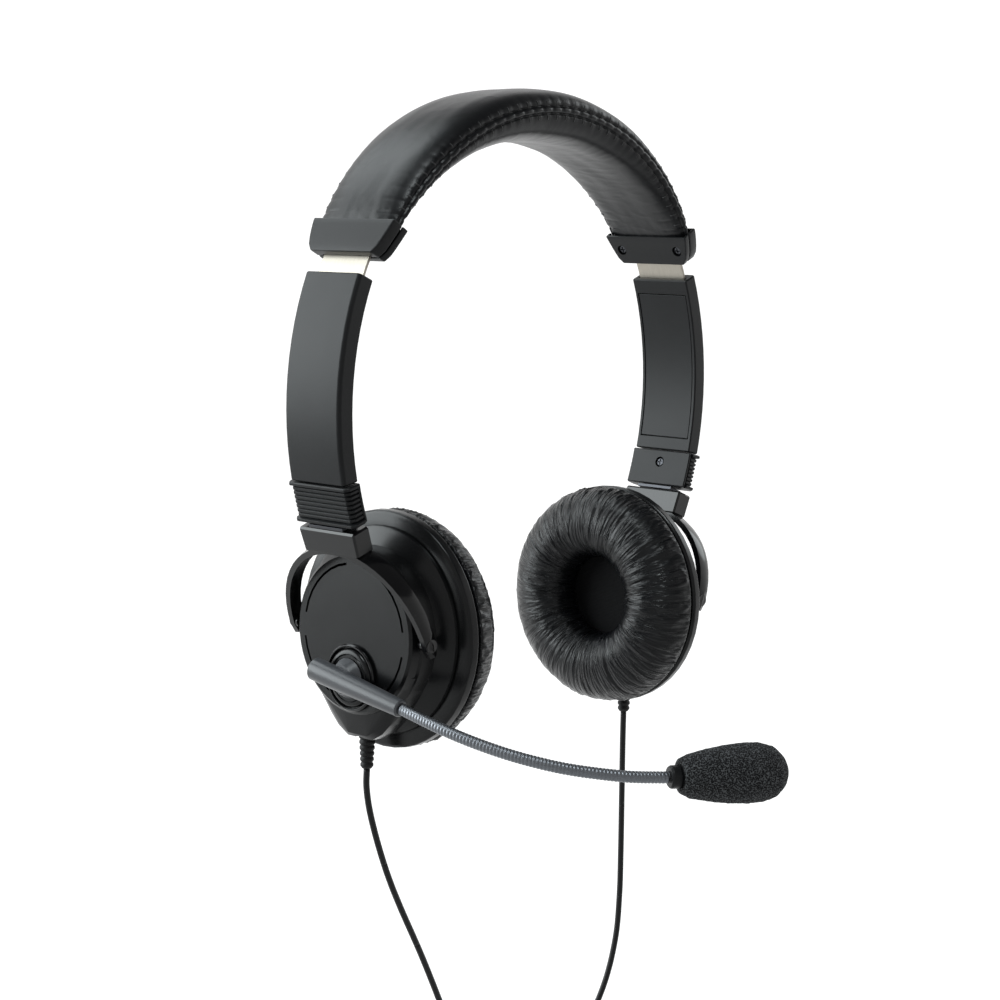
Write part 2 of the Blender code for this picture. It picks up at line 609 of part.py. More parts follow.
def cup(name, side, parent):
    out = ear_turn(side)
    shell = turned(f"outer_shell_{name}", in_mm(SHELL), "abs_satin", 52, parent, (0, 0, 0), out)
    boolean(shell, chin(name, side, parent), "UNION", "MANIFOLD")
    cutters = [turned(f"cup_room_{name}", in_mm(SHELL_ROOM), None, 32, parent, (0, 0, 0), out, cutter=True),
               slots(name, side, parent), relief_room(name, side, parent), pin_holes(name, side, parent)]
    for cutter in cutters:
        boolean(shell, cutter, solver="MANIFOLD")
    turned(f"cup_baffle_{name}", in_mm(BAFFLE), "abs_satin", 48, parent, (0, 0, 0), out, ring=True)
    turned(f"driver_{name}", in_mm(DRIVER), "driver_metal", 24, parent, (0, 0, 0), out)
    turned(f"driver_cloth_{name}", in_mm(CLOTH), "cloth", 24, parent, (0, 0, 0), out)
    turned(f"ear_cushion_{name}", in_mm(PAD), "pad_leatherette", 32, parent, (0, 0, 0), out, ring=True)
    strain_relief(name, side, parent)


def in_mm(profile):
    return [(r * MM, h * MM) for r, h in profile]


def ear_point(side, radius, angle, height):
    """A point on a circle round the ear axis. Angles run from +Y up."""
    return Vector((side * height, radius * math.cos(angle), radius * math.sin(angle)))


def chin(name, side, parent):
    """The shell's lower taper, down to the neck that holds the strain relief."""
    bm = bmesh.new()
    for height, radius in ((60.6, 27.6), (66.6, 26.4), (69.8, 25.2)):
        for k in range(13):
            angle = math.radians(-155 + 130 * k / 12)
            bm.verts.new(ear_point(side, radius * MM, angle, height * MM))
    for half, z in CHIN:
        for height, inwards in ((61.2, 0), (67.2, 0), (68.4, 1.2)):
            for way in (-1, 1):
                bm.verts.new((side * height * MM, way * (half - inwards * MM), z + inwards * MM))
    bmesh.ops.convex_hull(bm, input=bm.verts[:])
    loose = [vert for vert in bm.verts if not vert.link_faces]
    bmesh.ops.delete(bm, geom=loose, context="VERTS")
    return add(f"chin_{name}", bm, None, parent, cutter=True)


def slots(name, side, parent):
    """Four arc slots round the face."""
    bm = bmesh.new()
    near, far = SLOT_R - SLOT_WIDE / 2, SLOT_R + SLOT_WIDE / 2
    for k in range(4):
        start = math.radians(11 + 90 * k)
        shape = [(near, SLOT_LOW), (far, SLOT_LOW), (far, SLOT_HIGH), (near, SLOT_HIGH)]
        ring = loop_edges(bm, [ear_point(side, r, start, h) for r, h in shape])
        bmesh.ops.spin(bm, geom=ring, cent=(0, 0, 0), axis=(1, 0, 0), angle=math.radians(70), steps=7)
    close_ends(bm)
    return add(f"face_slots_{name}", bm, None, parent, cutter=True)


def relief_room(name, side, parent):
    """The bore for the strain relief, open at the neck's foot."""
    place = (side * NECK_H, 0, 0)
    return turned(f"relief_bore_{name}", in_mm([(0, -24.5), (3.7, -24.5), (3.7, -40), (0, -40)]), None, 16,
                  parent, place, cutter=True)


def pin_holes(name, side, parent):
    """Bores for the two pivot pins and, on the right, for the boom's shaft."""
    bm = bmesh.new()
    for way in (-1, 1):
        place = Matrix.Translation((side * PIN_X, way * 25 * MM, 0)) @ Matrix.Rotation(math.pi / 2, 4, "X")
        bmesh.ops.create_cone(bm, cap_ends=True, segments=12, radius1=PIVOT_PIN_R + GAP,
                              radius2=PIVOT_PIN_R + GAP, depth=6 * MM, matrix=place)
    if name == "r":
        place = Matrix.Translation((side * 70 * MM, 0, BOOM_Z)) @ Matrix.Rotation(math.pi / 2, 4, "Y")
        bmesh.ops.create_cone(bm, cap_ends=True, segments=20, radius1=4.3 * MM, radius2=4.3 * MM,
                              depth=6 * MM, matrix=place)
    return add(f"pin_holes_{name}", bm, None, parent, cutter=True)


def strain_relief(name, side, parent):
    """A tapered relief with ten ribs."""
    profile = [(0, RELIEF_HIGH), (3.3 * MM, RELIEF_HIGH)]
    ribs = 10
    pitch = (RELIEF_HIGH - RELIEF_LOW) / ribs
    for k in range(ribs):
        top = RELIEF_HIGH - pitch * k
        radius = (3.2 - 1.15 * (k + 0.5) / ribs) * MM
        profile += [(radius, top - 0.12 * pitch), (radius, top - 0.66 * pitch),
                    (radius - 0.45 * MM, top - 0.88 * pitch)]
    profile += [(1.5 * MM, RELIEF_LOW), (0, RELIEF_LOW)]
    turned(f"strain_relief_{name}", profile, "lead_pvc", 12, parent, (side * NECK_H, 0, 0))


# Boom and microphone


def boom(side, cup_parent, parent):
    out = ear_turn(side)
    hub = Vector((0, 0, BOOM_Z))
    bezel = [(9.95, 72.4), (10.3, 72.4), (10.7, 72.0), (10.7, 71.3), (9.7, 71.3), (9.7, 72.1)]
    turned("boom_bezel", in_mm(bezel), "abs_gloss", 32, cup_parent, hub, out, ring=True)
    disc = [(0, 72.8), (8.3, 72.8), (8.8, 72.5), (9.3, 71.9), (9.3, 71.35), (4.0, 71.35), (4.0, 67.2),
            (0, 67.2)]
    turned("boom_disc", in_mm(disc), "abs_satin", 32, parent, hub, out)
    arm(side, parent, hub)


def arm(side, parent, hub):
    ahead = Vector((0, -math.cos(BOOM_DROP), -math.sin(BOOM_DROP)))
    long = (BOOM_BACK - BOOM_FRONT) / math.cos(BOOM_DROP)
    back = hub + Vector((side * BOOM_H, 0, 0)) - ahead * BOOM_BACK / math.cos(BOOM_DROP)
    r0, r1 = BOOM_BACK_R, BOOM_FRONT_R
    profile = [(0, long), (r1 - 0.4 * MM, long), (r1, long - 0.5 * MM), (r0, 8 * MM), (r0, 0.7 * MM),
               (r0 - 0.7 * MM, 0), (0, 0)]
    turn = ahead.to_track_quat("Z", "Y").to_euler()
    body = turned("boom_arm", profile, "abs_satin", 20, parent, back, turn)
    foot = turned("arm_foot", in_mm([(0, 76.0), (4.6, 76.0), (6.4, 73.1), (0, 73.1)]), None, 20, parent, hub,
                  ear_turn(side), cutter=True)
    boolean(body, foot, "UNION")


def gooseneck(parent):
    tube("gooseneck", smooth_route(NECK_ROUTE, 4 * MM), NECK_R, "neck_metal", parent)


def microphone(parent):
    ahead = Vector((math.sin(MIC_HEADING), -math.cos(MIC_HEADING), 0))
    turn = ahead.to_track_quat("Z", "Y").to_euler()
    housing = [(0, 16.5), (2.9, 16.5), (3.2, 16.0), (3.2, 3.4), (3.5, 3.1), (3.5, 0.7), (3.1, 0.1), (0, 0.1)]
    turned("mic_housing", in_mm(housing), "abs_satin", 20, parent, MIC_START, turn)
    capsule = [(0, 19.4), (2.9, 19.4), (2.9, 16.8), (0, 16.8)]
    turned("mic_capsule", in_mm(capsule), "driver_metal", 16, parent, MIC_START, turn)
    outside = []
    for t, r in ((1.0, 0.0), (0.985, 2.6), (0.94, 5.3), (0.86, 7.7), (0.74, 9.0), (0.6, 9.2), (0.42, 8.7),
                 (0.24, 7.8), (0.08, 6.7), (0.0, 5.4)):
        outside.append((r, FOAM_START + t * FOAM_LONG))
    inside = [(3.55, FOAM_START), (3.55, 20.0), (0, 20.0)]
    turned("foam_windscreen", in_mm(outside + inside), "foam", 24, parent, MIC_START, turn)


# Lead


def lead():
    for name in SIDES:
        tube(f"cord_{name}", smooth_route(BRANCH_ROUTES[name], 5.2 * MM), BRANCH_R, "lead_pvc")
    bm = bmesh.new()
    made = bmesh.ops.create_cube(bm, size=1)["verts"]
    bmesh.ops.scale(bm, vec=(13 * MM, 5.4 * MM, SPLIT_HIGH - SPLIT_LOW), verts=made)
    for vert in made:
        if vert.co.z < 0:
            vert.co.x *= 0.45
    bmesh.ops.translate(bm, vec=(0, 0, (SPLIT_HIGH + SPLIT_LOW) / 2), verts=made)
    bevel(add("cord_splitter", bm, "lead_pvc"), 1.2 * MM, 2, 20)
    tube("main_cord", smooth_route(LEAD_ROUTE, 4 * MM), LEAD_R, "lead_pvc")
    tube("plug_cord", smooth_route(TAIL_ROUTE, 4 * MM), LEAD_R, "lead_pvc")
    ring = [(COIL_OUT, COIL_HALF), (COIL_OUT, -COIL_HALF), (COIL_IN, -COIL_HALF), (COIL_IN, COIL_HALF)]
    turned("cord_coil", ring, "lead_pvc", 32, None, (COIL_X, 0, COIL_Z), (math.pi / 2, 0, 0), ring=True)
    cord_tie()
    plug()


def box_at(bm, size, middle):
    made = bmesh.ops.create_cube(bm, size=1)["verts"]
    bmesh.ops.scale(bm, vec=size, verts=made)
    bmesh.ops.translate(bm, vec=middle, verts=made)


def cord_tie():
    """A strap round the coil's top, all the way round its turns."""
    middle = Vector((COIL_X + 1 * MM, 0, COIL_Z + (COIL_IN + COIL_OUT) / 2))
    wall, slack = 1.0 * MM, 0.45 * MM
    inner = Vector((6 * MM, 2 * (COIL_HALF + slack), COIL_OUT - COIL_IN + 2 * slack))
    bm = bmesh.new()
    box_at(bm, (3.6 * MM, inner.y + 2 * wall, inner.z + 2 * wall), middle)
    tie = add("cord_tie", bm, "abs_satin")
    bm = bmesh.new()
    box_at(bm, inner, middle)
    boolean(tie, add("tie_room", bm, None, cutter=True))


def plug():
    """A USB-A plug: moulded body with a ribbed neck, plated shell and its tongue."""
    bm = bmesh.new()
    high = PLUG_HIGH - 9 * MM
    box_at(bm, (15 * MM, 7.6 * MM, high - PLUG_SHOULDER), (PLUG_X, PLUG_Y, (high + PLUG_SHOULDER) / 2))
    body = add("plug_body", bm, "abs_satin")
    bevel(body, 0.8 * MM, 2)
    neck = [(0, PLUG_HIGH), (2.2 * MM, PLUG_HIGH), (2.4 * MM, PLUG_HIGH - 1 * MM), (3.4 * MM, high - 1 * MM),
            (0, high - 1 * MM)]
    boolean(body, turned("plug_neck", neck, None, 16, None, (PLUG_X, PLUG_Y, 0), cutter=True), "UNION")
    bm = bmesh.new()
    top = PLUG_SHOULDER - GAP
    box_at(bm, (12 * MM, 4.5 * MM, top - PLUG_END), (PLUG_X, PLUG_Y, (top + PLUG_END) / 2))
    shell = add("plug_shell", bm, "plug_nickel")
    bm = bmesh.new()
    box_at(bm, (11.2 * MM, 3.7 * MM, 11 * MM), (PLUG_X, PLUG_Y, PLUG_END + 4.6 * MM))
    boolean(shell, add("plug_room", bm, None, cutter=True))
    bm = bmesh.new()
    box_at(bm, (10.4 * MM, 1.4 * MM, 8.6 * MM), (PLUG_X, PLUG_Y + 0.8 * MM, PLUG_END + 5.3 * MM))
    add("plug_tongue", bm, "tongue_white")


clear_scene()
PARTS = collection("office_headset")
CUTTERS = collection("cutters")


def main():
    spring_band()
    headband_cushion()
    lead()
    for name, side in SIDES.items():
        end_caps(name, side)
        slide = pivot(f"slider_{name}", (side * ARC_X, 0, ARC_Z))
        slider(name, side, slide)
        swivel = pivot(f"swivel_{name}", swivel_place(side), slide)
        yoke(name, side, swivel)
        tilt = pivot(f"tilt_{name}", (side * PIN_X, 0, 0), swivel)
        cup(name, side, tilt)
        if name == "r":
            hub = pivot("boom_pivot", (side * BOOM_H, 0, BOOM_Z), tilt)
            boom(side, tilt, hub)
            gooseneck(hub)
            microphone(pivot("gooseneck_bend", Vector(NECK_ROUTE[5]) * MM, hub))


main()
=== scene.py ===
"""Office headset: finishes, soft goods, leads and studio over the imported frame.

Units are metres in the frame's own axes: +Z is up, +X is the wearer's left, the wearer faces -Y and the
origin is the middle of the ear axis. Run it as a script in Blender 4.5.
"""

import math

import bpy
import numpy as np
from bpy.props import FloatProperty, PointerProperty, StringProperty
from bpy.types import Operator
from mathutils import Matrix, Quaternion, Vector, noise


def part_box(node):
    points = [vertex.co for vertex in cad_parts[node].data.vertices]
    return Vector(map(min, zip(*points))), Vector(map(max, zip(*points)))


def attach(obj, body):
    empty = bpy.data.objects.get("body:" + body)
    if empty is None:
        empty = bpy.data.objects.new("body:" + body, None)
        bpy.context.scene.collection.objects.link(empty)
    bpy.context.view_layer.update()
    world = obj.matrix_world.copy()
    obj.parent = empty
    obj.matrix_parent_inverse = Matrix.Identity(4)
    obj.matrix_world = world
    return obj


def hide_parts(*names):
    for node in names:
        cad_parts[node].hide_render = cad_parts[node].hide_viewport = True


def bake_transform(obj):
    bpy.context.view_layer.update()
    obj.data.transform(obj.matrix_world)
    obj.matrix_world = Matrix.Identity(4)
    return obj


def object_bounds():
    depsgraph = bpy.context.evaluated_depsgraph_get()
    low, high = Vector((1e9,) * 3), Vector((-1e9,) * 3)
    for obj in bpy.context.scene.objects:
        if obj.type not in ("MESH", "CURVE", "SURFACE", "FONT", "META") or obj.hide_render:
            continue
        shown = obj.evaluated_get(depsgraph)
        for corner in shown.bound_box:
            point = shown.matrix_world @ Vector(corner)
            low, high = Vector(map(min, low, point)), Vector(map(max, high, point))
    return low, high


bl_info = {
    "name": "Office headset",
    "version": (1, 0, 0),
    "blender": (4, 5, 0),
    "location": "3D View > Sidebar > Headset",
    "description": "Builds the soft goods, leads, finishes and studio of an office headset",
    "category": "Object",
}

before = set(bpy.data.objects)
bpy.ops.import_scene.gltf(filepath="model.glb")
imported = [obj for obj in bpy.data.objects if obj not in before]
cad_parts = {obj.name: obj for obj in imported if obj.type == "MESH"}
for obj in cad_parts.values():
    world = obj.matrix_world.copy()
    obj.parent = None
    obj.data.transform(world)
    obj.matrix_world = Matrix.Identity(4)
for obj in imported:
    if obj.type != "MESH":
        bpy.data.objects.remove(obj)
CAD_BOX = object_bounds()

MM = 0.001
SIDES = {"r": -1, "l": 1}

# The steel band is two side arcs and a crest arc, tangent to each other, seen along Y.
ARC_X, ARC_Z = -16.0 * MM, 72.0 * MM
BAND_R, BAND_JOIN = 102.3 * MM, math.radians(30.0)
CREST_R = BAND_R + ARC_X / math.cos(BAND_JOIN)
CREST_Z = ARC_Z + (BAND_R - CREST_R) * math.sin(BAND_JOIN)
CUSHION_END = math.radians(31.2)

# Headband cushion: half its length, how far its stitches reach, its full height above the band, and its
# seams' heights from the band.
CUSHION_REACH, STITCH_REACH = 86 * MM, 81 * MM
CREST_RISE = 6.8 * MM
SEAM_HIGH, SEAM_LOW = 0.98 * MM, -1.5 * MM

# Boom and microphone.
BOOM_Z = -13.8 * MM
MIC_HEADING = math.radians(60.0)
MIC_START = Vector((-36.2, -98.9, -33.2)) * MM
FOAM_START, FOAM_LONG = 3.7 * MM, 34.5 * MM
FOAM_BORE_R, FOAM_BORE_DEEP = 3.55 * MM, 16.3 * MM
NECK_CORE, NECK_PROUD = 1.65 * MM, 0.18 * MM

# The routes of the leads and of the gooseneck, in millimetres, top to bottom or root to tip.
BRANCH_ROUTES = {
    "r": [(-64, 0, -44.1), (-64, 0, -50), (-62.4, 0, -58), (-58.7, 0, -69), (-53.7, 0, -81), (-47.6, 0, -93),
          (-36, 0, -114), (-22, 0, -142), (-10, 0, -168), (-4.5, 0, -186), (-3.6, 0, -194),
          (-3.6, 0, -199.7)],
    "l": [(64, 0, -44.1), (64.1, 0, -56), (64.5, 0, -75), (64.9, 0, -95), (64.9, 0, -112), (63.3, 0, -128),
          (57.5, 0, -144), (46, 0, -159.5), (30, 0, -174), (14, 0, -185.5), (5.4, 0, -193.5),
          (3.6, 0, -199.7)],
}
LEAD_ROUTE = [(0, 0, -217.3), (0, 0, -219.5), (0.1, -1.6, -223), (0.4, -5.0, -227.0), (1.3, -8.3, -230.2),
              (2.9, -9.9, -231.8)]
TAIL_ROUTE = [(25.5, -14.3, -261), (25.5, -14.3, -266), (25.5, -14.3, -271.7)]
NECK_ROUTE = [(-76.6, -27.7, -18.6), (-76.5, -34, -19.9), (-75.6, -43.8, -22.2), (-73.1, -53, -24.6),
              (-68.9, -63.4, -27.2), (-63.7, -73, -29.3), (-57.6, -81.3, -30.9), (-47.4, -91.3, -32.5),
              (-38.8, -97.4, -33.1), (-36.4, -98.8, -33.2)]
COIL_CENTRE = (8.0, -256.0)
COIL_TURNS = 13.25
COIL_OUTER, COIL_INNER, COIL_HALF = 20.9, 17.5, 10.4
BRANCH_ACROSS, LEAD_ACROSS = 2.1 * MM, 3.2 * MM

# Speaker cloth, in millimetres: its radius, how far out its middle is from the origin, and its crown.
CLOTH_R, CLOTH_AT, CLOTH_CROWN = 17.9, 52.95, 0.25

# Softboxes: name, azimuth and elevation in degrees, distance, size, watts. Their light is a little cool.
SOFTBOXES = (("key_softbox", -140, 15, 1.7, 1.4, 26), ("back_softbox", -170, 50, 1.7, 1.0, 9),
             ("front_softbox", -70, 62, 1.7, 0.5, 9), ("side_softbox", 80, 25, 1.8, 0.8, 3))
SOFTBOX_TINT = (0.91, 0.98, 1.0)

# Toward the side of the paper where its painted glow is brightest. What the camera looks at, and its roll.
LIT_WAY = (0.74, 0.67, 0.0)
CAMERA_AIM = Vector((-4.44, 0, 37.3)) * MM
CAMERA_ROLL = math.radians(1.35)


# Materials


def linear(colour):
    """An sRGB hex colour as linear light, with alpha."""
    parts = [int(colour[i:i + 2], 16) / 255 for i in (1, 3, 5)]
    return (*[c / 12.92 if c <= 0.04045 else ((c + 0.055) / 1.055) ** 2.4 for c in parts], 1.0)


def add_node(tree, kind, settings, inputs):
    """Adds a shader node. An input takes a value, or another node's output."""
    made = tree.nodes.new(kind)
    for key, value in settings.items():
        setattr(made, key, value)
    for key, value in inputs.items():
        if isinstance(value, bpy.types.NodeSocket):
            tree.links.new(value, made.inputs[key])
        else:
            made.inputs[key].default_value = value
    return made


def start_finish(name, sockets):
    """A new material, its node tree, its shader and the place that its patterns are measured from."""
    made = bpy.data.materials.new(name)
    made.use_nodes = True
    tree = made.node_tree
    shader = tree.nodes["Principled BSDF"]
    for key, value in sockets.items():
        shader.inputs[key].default_value = value
    return made, tree, shader, add_node(tree, "ShaderNodeTexCoord", {}, {}).outputs["Object"]


def vary(tree, shader, pattern, colours, roughness):
    """Drives colour and roughness between two ends by one pattern."""
    blend = add_node(tree, "ShaderNodeMix", {"data_type": "RGBA"},
                     {0: pattern, 6: linear(colours[0]), 7: linear(colours[1])})
    tree.links.new(blend.outputs[2], shader.inputs["Base Color"])
    rough = add_node(tree, "ShaderNodeMapRange", {}, {"Value": pattern, "To Min": roughness[0],
                                                      "To Max": roughness[1]})
    tree.links.new(rough.outputs[0], shader.inputs["Roughness"])


def raise_grain(tree, shader, height, depth, strength=1.0, under=None):
    """Bumps the surface by a height pattern of a real depth, over another bump if given."""
    inputs = {"Height": height, "Distance": depth, "Strength": strength}
    if under:
        inputs["Normal"] = under
    bump = add_node(tree, "ShaderNodeBump", {}, inputs)
    tree.links.new(bump.outputs[0], shader.inputs["Normal"])
    return bump.outputs[0]


def moulded_abs(name, colours, roughness, grain, depth, shine=0.22):
    """Moulded ABS. Its grain comes from the mould: eroded for satin, polished for gloss."""
    made, tree, shader, place = start_finish(name, {"IOR": 1.53, "Specular IOR Level": shine})
    haze = add_node(tree, "ShaderNodeTexNoise", {}, {"Vector": place, "Scale": 1 / (14 * MM), "Detail": 4.0})
    pits = add_node(tree, "ShaderNodeTexNoise", {}, {"Vector": place, "Scale": 1 / grain, "Detail": 2.0})
    vary(tree, shader, haze.outputs[0], colours, roughness)
    raise_grain(tree, shader, pits.outputs[0], depth)
    return made


def pu_leatherette(name, colours, roughness, crease, coat, gathers=0.0):
    """Polyurethane leatherette on knit: fine embossed pores about 0.6 mm apart under a smooth film.

    The film gives a soft broad shine, and the pores and stretch creases break it up. Gathers is the depth of
    fine folds that run across a ring sewn round the X axis, where a flat strip is drawn in at both edges.
    """
    made, tree, shader, place = start_finish(name, {"IOR": 1.5, "Specular IOR Level": 0.26,
                                                    "Coat Weight": coat, "Coat Roughness": 0.3})
    haze = add_node(tree, "ShaderNodeTexNoise", {}, {"Vector": place, "Scale": 1 / (9 * MM), "Detail": 5.0})
    vary(tree, shader, haze.outputs[0], colours, roughness)
    folds = add_node(tree, "ShaderNodeTexNoise", {"noise_type": "RIDGED_MULTIFRACTAL"},
                     {"Vector": place, "Scale": 1 / (7 * MM), "Detail": 3.0, "Distortion": 0.8})
    soft = raise_grain(tree, shader, folds.outputs[0], crease)
    if gathers:
        wheel = add_node(tree, "ShaderNodeVectorMath", {"operation": "MULTIPLY"},
                         {0: place, 1: (0.0, 1.0, 1.0)})
        spoke = add_node(tree, "ShaderNodeVectorMath", {"operation": "NORMALIZE"}, {0: wheel.outputs[0]})
        drift = add_node(tree, "ShaderNodeVectorMath", {"operation": "MULTIPLY_ADD"},
                         {0: place, 1: (5.0, 5.0, 5.0), 2: spoke.outputs[0]})
        # Broad, middle and fine folds. Ping-pong leaves them 0.11 high, and 9 brings that back to about 1.
        for scale, share in ((3.4, 1.5), (8.0, 0.8), (19.0, 0.2)):
            lines = add_node(tree, "ShaderNodeTexNoise", {}, {"Vector": drift.outputs[0], "Scale": scale,
                                                              "Detail": 2.0, "Distortion": 0.35})
            fold = add_node(tree, "ShaderNodeMath", {"operation": "PINGPONG"}, {0: lines.outputs[0], 1: 0.11})
            soft = raise_grain(tree, shader, fold.outputs[0], share * gathers * 9, 1.0, soft)
    pores = add_node(tree, "ShaderNodeTexVoronoi", {"feature": "DISTANCE_TO_EDGE"},
                     {"Vector": place, "Scale": 1 / (0.6 * MM)})
    flat = add_node(tree, "ShaderNodeMapRange", {"interpolation_type": "SMOOTHSTEP"},
                    {"Value": pores.outputs[0], "From Max": 0.25})
    raise_grain(tree, shader, flat.outputs[0], 0.012 * MM, 0.8, soft)
    return made


def ground_steel(name, colours, roughness, stretch):
    """Cold-rolled steel, drawn and brushed along its length: fine lines run with the strip."""
    made, tree, shader, place = start_finish(name, {"Metallic": 1.0})
    along = add_node(tree, "ShaderNodeMapping", {}, {"Vector": place, "Scale": stretch})
    lines = add_node(tree, "ShaderNodeTexNoise", {}, {"Vector": along.outputs[0], "Scale": 1 / (0.35 * MM),
                                                      "Detail": 3.0})
    vary(tree, shader, lines.outputs[0], colours, roughness)
    raise_grain(tree, shader, lines.outputs[0], 0.004 * MM, 0.5)
    return made


def open_cell_foam(name, colours):
    """Open-cell polyurethane foam: pores near 0.5 mm swallow light, and cut cell walls catch it as specks."""
    made, tree, shader, place = start_finish(name, {"IOR": 1.45, "Specular IOR Level": 0.2})
    cells = add_node(tree, "ShaderNodeTexVoronoi", {}, {"Vector": place, "Scale": 1 / (0.42 * MM)})
    specks = add_node(tree, "ShaderNodeMapRange", {"interpolation_type": "SMOOTHSTEP"},
                      {"Value": cells.outputs[0], "From Min": 0.35, "From Max": 0.85})
    vary(tree, shader, specks.outputs[0], colours, (0.95, 0.85))
    raise_grain(tree, shader, cells.outputs[0], 0.22 * MM)
    return made


def woven_cloth(name, colours, thread):
    """Acoustic cloth woven from fine monofilament: crossing threads, drawn coarser than real so they show."""
    made, tree, shader, place = start_finish(name, {"IOR": 1.5, "Specular IOR Level": 0.2})
    waves = [add_node(tree, "ShaderNodeTexWave", {"bands_direction": way, "wave_profile": "SIN"},
                      {"Vector": place, "Scale": 0.314 / thread}) for way in ("Y", "Z")]
    over = add_node(tree, "ShaderNodeMath", {"operation": "MULTIPLY"},
                    {0: waves[0].outputs["Fac"], 1: waves[1].outputs["Fac"]})
    vary(tree, shader, over.outputs[0], colours, (0.9, 0.75))
    raise_grain(tree, shader, over.outputs[0], 0.06 * MM)
    return made


def soft_pvc(name, colours, roughness):
    """Extruded soft PVC: an even half-matt skin with faint waves from the extruder and a little dust."""
    made, tree, shader, place = start_finish(name, {"IOR": 1.52, "Specular IOR Level": 0.3})
    dust = add_node(tree, "ShaderNodeTexNoise", {}, {"Vector": place, "Scale": 1 / (1.6 * MM), "Detail": 5.0})
    vary(tree, shader, dust.outputs[0], colours, roughness)
    waves = add_node(tree, "ShaderNodeTexNoise", {}, {"Vector": place, "Scale": 1 / (0.5 * MM)})
    raise_grain(tree, shader, waves.outputs[0], 0.012 * MM)
    return made


def spun_thread(name, colours):
    """Bonded polyester thread: twisted plies give it a dull broken shine."""
    made, tree, shader, place = start_finish(name, {"IOR": 1.55, "Sheen Weight": 0.2})
    plies = add_node(tree, "ShaderNodeTexNoise", {}, {"Vector": place, "Scale": 1 / (0.25 * MM),
                                                      "Detail": 2.0})
    vary(tree, shader, plies.outputs[0], colours, (0.7, 0.5))
    raise_grain(tree, shader, plies.outputs[0], 0.04 * MM)
    return made


def studio_paper(name, glow):
    """Matt background paper whose glow is painted light: white on its far side, as if lamps stood behind, and
    falling off to painted shade on its near side.
    """
    made, tree, shader, place = start_finish(name, {"Emission Color": linear("#ffffff")})
    fibre = add_node(tree, "ShaderNodeTexNoise", {}, {"Vector": place, "Scale": 1 / (300 * MM)})
    vary(tree, shader, fibre.outputs[0], ("#8c8c8b", "#909090"), (0.9, 0.95))
    way = add_node(tree, "ShaderNodeVectorMath", {"operation": "NORMALIZE"}, {0: place})
    facing = add_node(tree, "ShaderNodeVectorMath", {"operation": "DOT_PRODUCT"},
                      {0: way.outputs[0], 1: LIT_WAY})
    # Painted light: the emission is strongest on the side toward LIT_WAY and falls to 0.3 of that on the near
    # side.
    painted_backlight = add_node(tree, "ShaderNodeMapRange", {"interpolation_type": "SMOOTHSTEP"},
                    {"Value": facing.outputs["Value"], "From Min": -0.5, "From Max": 0.75,
                     "To Min": 0.3 * glow, "To Max": glow})
    tree.links.new(painted_backlight.outputs[0], shader.inputs["Emission Strength"])
    return made


# How each finish is made, and what from. A colour is a hex value or the name of a setting that holds one.
FINISHES = {
    # Satin ABS from an eroded mould: near-black, with highlights spread soft by the grain.
    "abs_moulded_satin": (moulded_abs, ("plastic", "#17181a"), (0.36, 0.44), 0.3 * MM, 0.012 * MM),
    # Cup and hub ABS, polished a little finer than the sliders, so that its steps catch thin bright arcs.
    "abs_moulded_polished": (moulded_abs, ("#0a0a0b", "#111213"), (0.22, 0.28), 0.5 * MM, 0.004 * MM, 0.26),
    # Boom arm: satin ABS with more shine and a greyer base colour. The grey is painted light: it lifts the
    # whole arm toward the brightness of the highlight along its top.
    "abs_soft_touch": (moulded_abs, ("#3b3d40", "#46484c"), (0.3, 0.38), 0.3 * MM, 0.01 * MM, 0.55),
    # Gloss ABS from a polished mould: deep black with a sharp, narrow highlight.
    "abs_moulded_gloss": (moulded_abs, ("gloss", "#0d0d0e"), (0.12, 0.17), 2.5 * MM, 0.006 * MM, 0.4),
    # Ivory PBT that carries the plug's contacts: paler and duller than the shells.
    "pbt_moulded": (moulded_abs, ("#dcdad2", "#e6e4dd"), (0.4, 0.5), 0.3 * MM, 0.01 * MM),
    # Headband cover: half-shiny film over soft foam.
    "pu_leatherette_headband": (pu_leatherette, ("leather", "#141517"), (0.29, 0.37), 0.08 * MM, 0.0),
    # Ear cushion cover: a glossier film, stretched and gathered.
    "pu_leatherette_ear": (pu_leatherette, ("leather", "#121315"), (0.24, 0.31), 0.05 * MM, 0.05, 0.42 * MM),
    # Bright spring strip of the headband, with its brushing along it.
    "spring_steel_brushed": (ground_steel, ("steel", "#bab4a9"), (0.4, 0.5), (0.12, 1.0, 0.12)),
    # Blackened screws, pins and detent springs: dark oxide over steel.
    "screw_steel_blackened": (ground_steel, ("#3a3b3e", "#5b5c60"), (0.35, 0.5), (1, 1, 1)),
    # Nickel plate on turned or folded steel: bright and slightly warm.
    "steel_nickel_plated": (ground_steel, ("#bdbab2", "#d8d5cd"), (0.16, 0.28), (1, 1, 0.2)),
    # Gooseneck of wound gunmetal strip: each turn catches one small highlight.
    "gunmetal_wound": (ground_steel, ("gunmetal", "#8f9297"), (0.34, 0.46), (1, 1, 1)),
    "polyurethane_foam_open_cell": (open_cell_foam, ("#0d0e0f", "#5a5c5e")),
    "acoustic_cloth_woven": (woven_cloth, ("#050506", "#151517"), 0.5 * MM),
    # Lead jacket.
    "pvc_extruded": (soft_pvc, ("#0d0d0e", "#161617"), (0.42, 0.55)),
    # Moulded rubbery relief and splitter: duller than the shells.
    "tpe_moulded": (soft_pvc, ("#0c0c0d", "#131415"), (0.5, 0.62)),
    # Strap of nylon loops: its thread ends scatter light to a dark grey.
    "nylon_hook_and_loop": (spun_thread, ("#101011", "#2a2a2c")),
    "polyester_thread_bonded": (spun_thread, ("#0b0b0c", "#1c1d1f")),
}


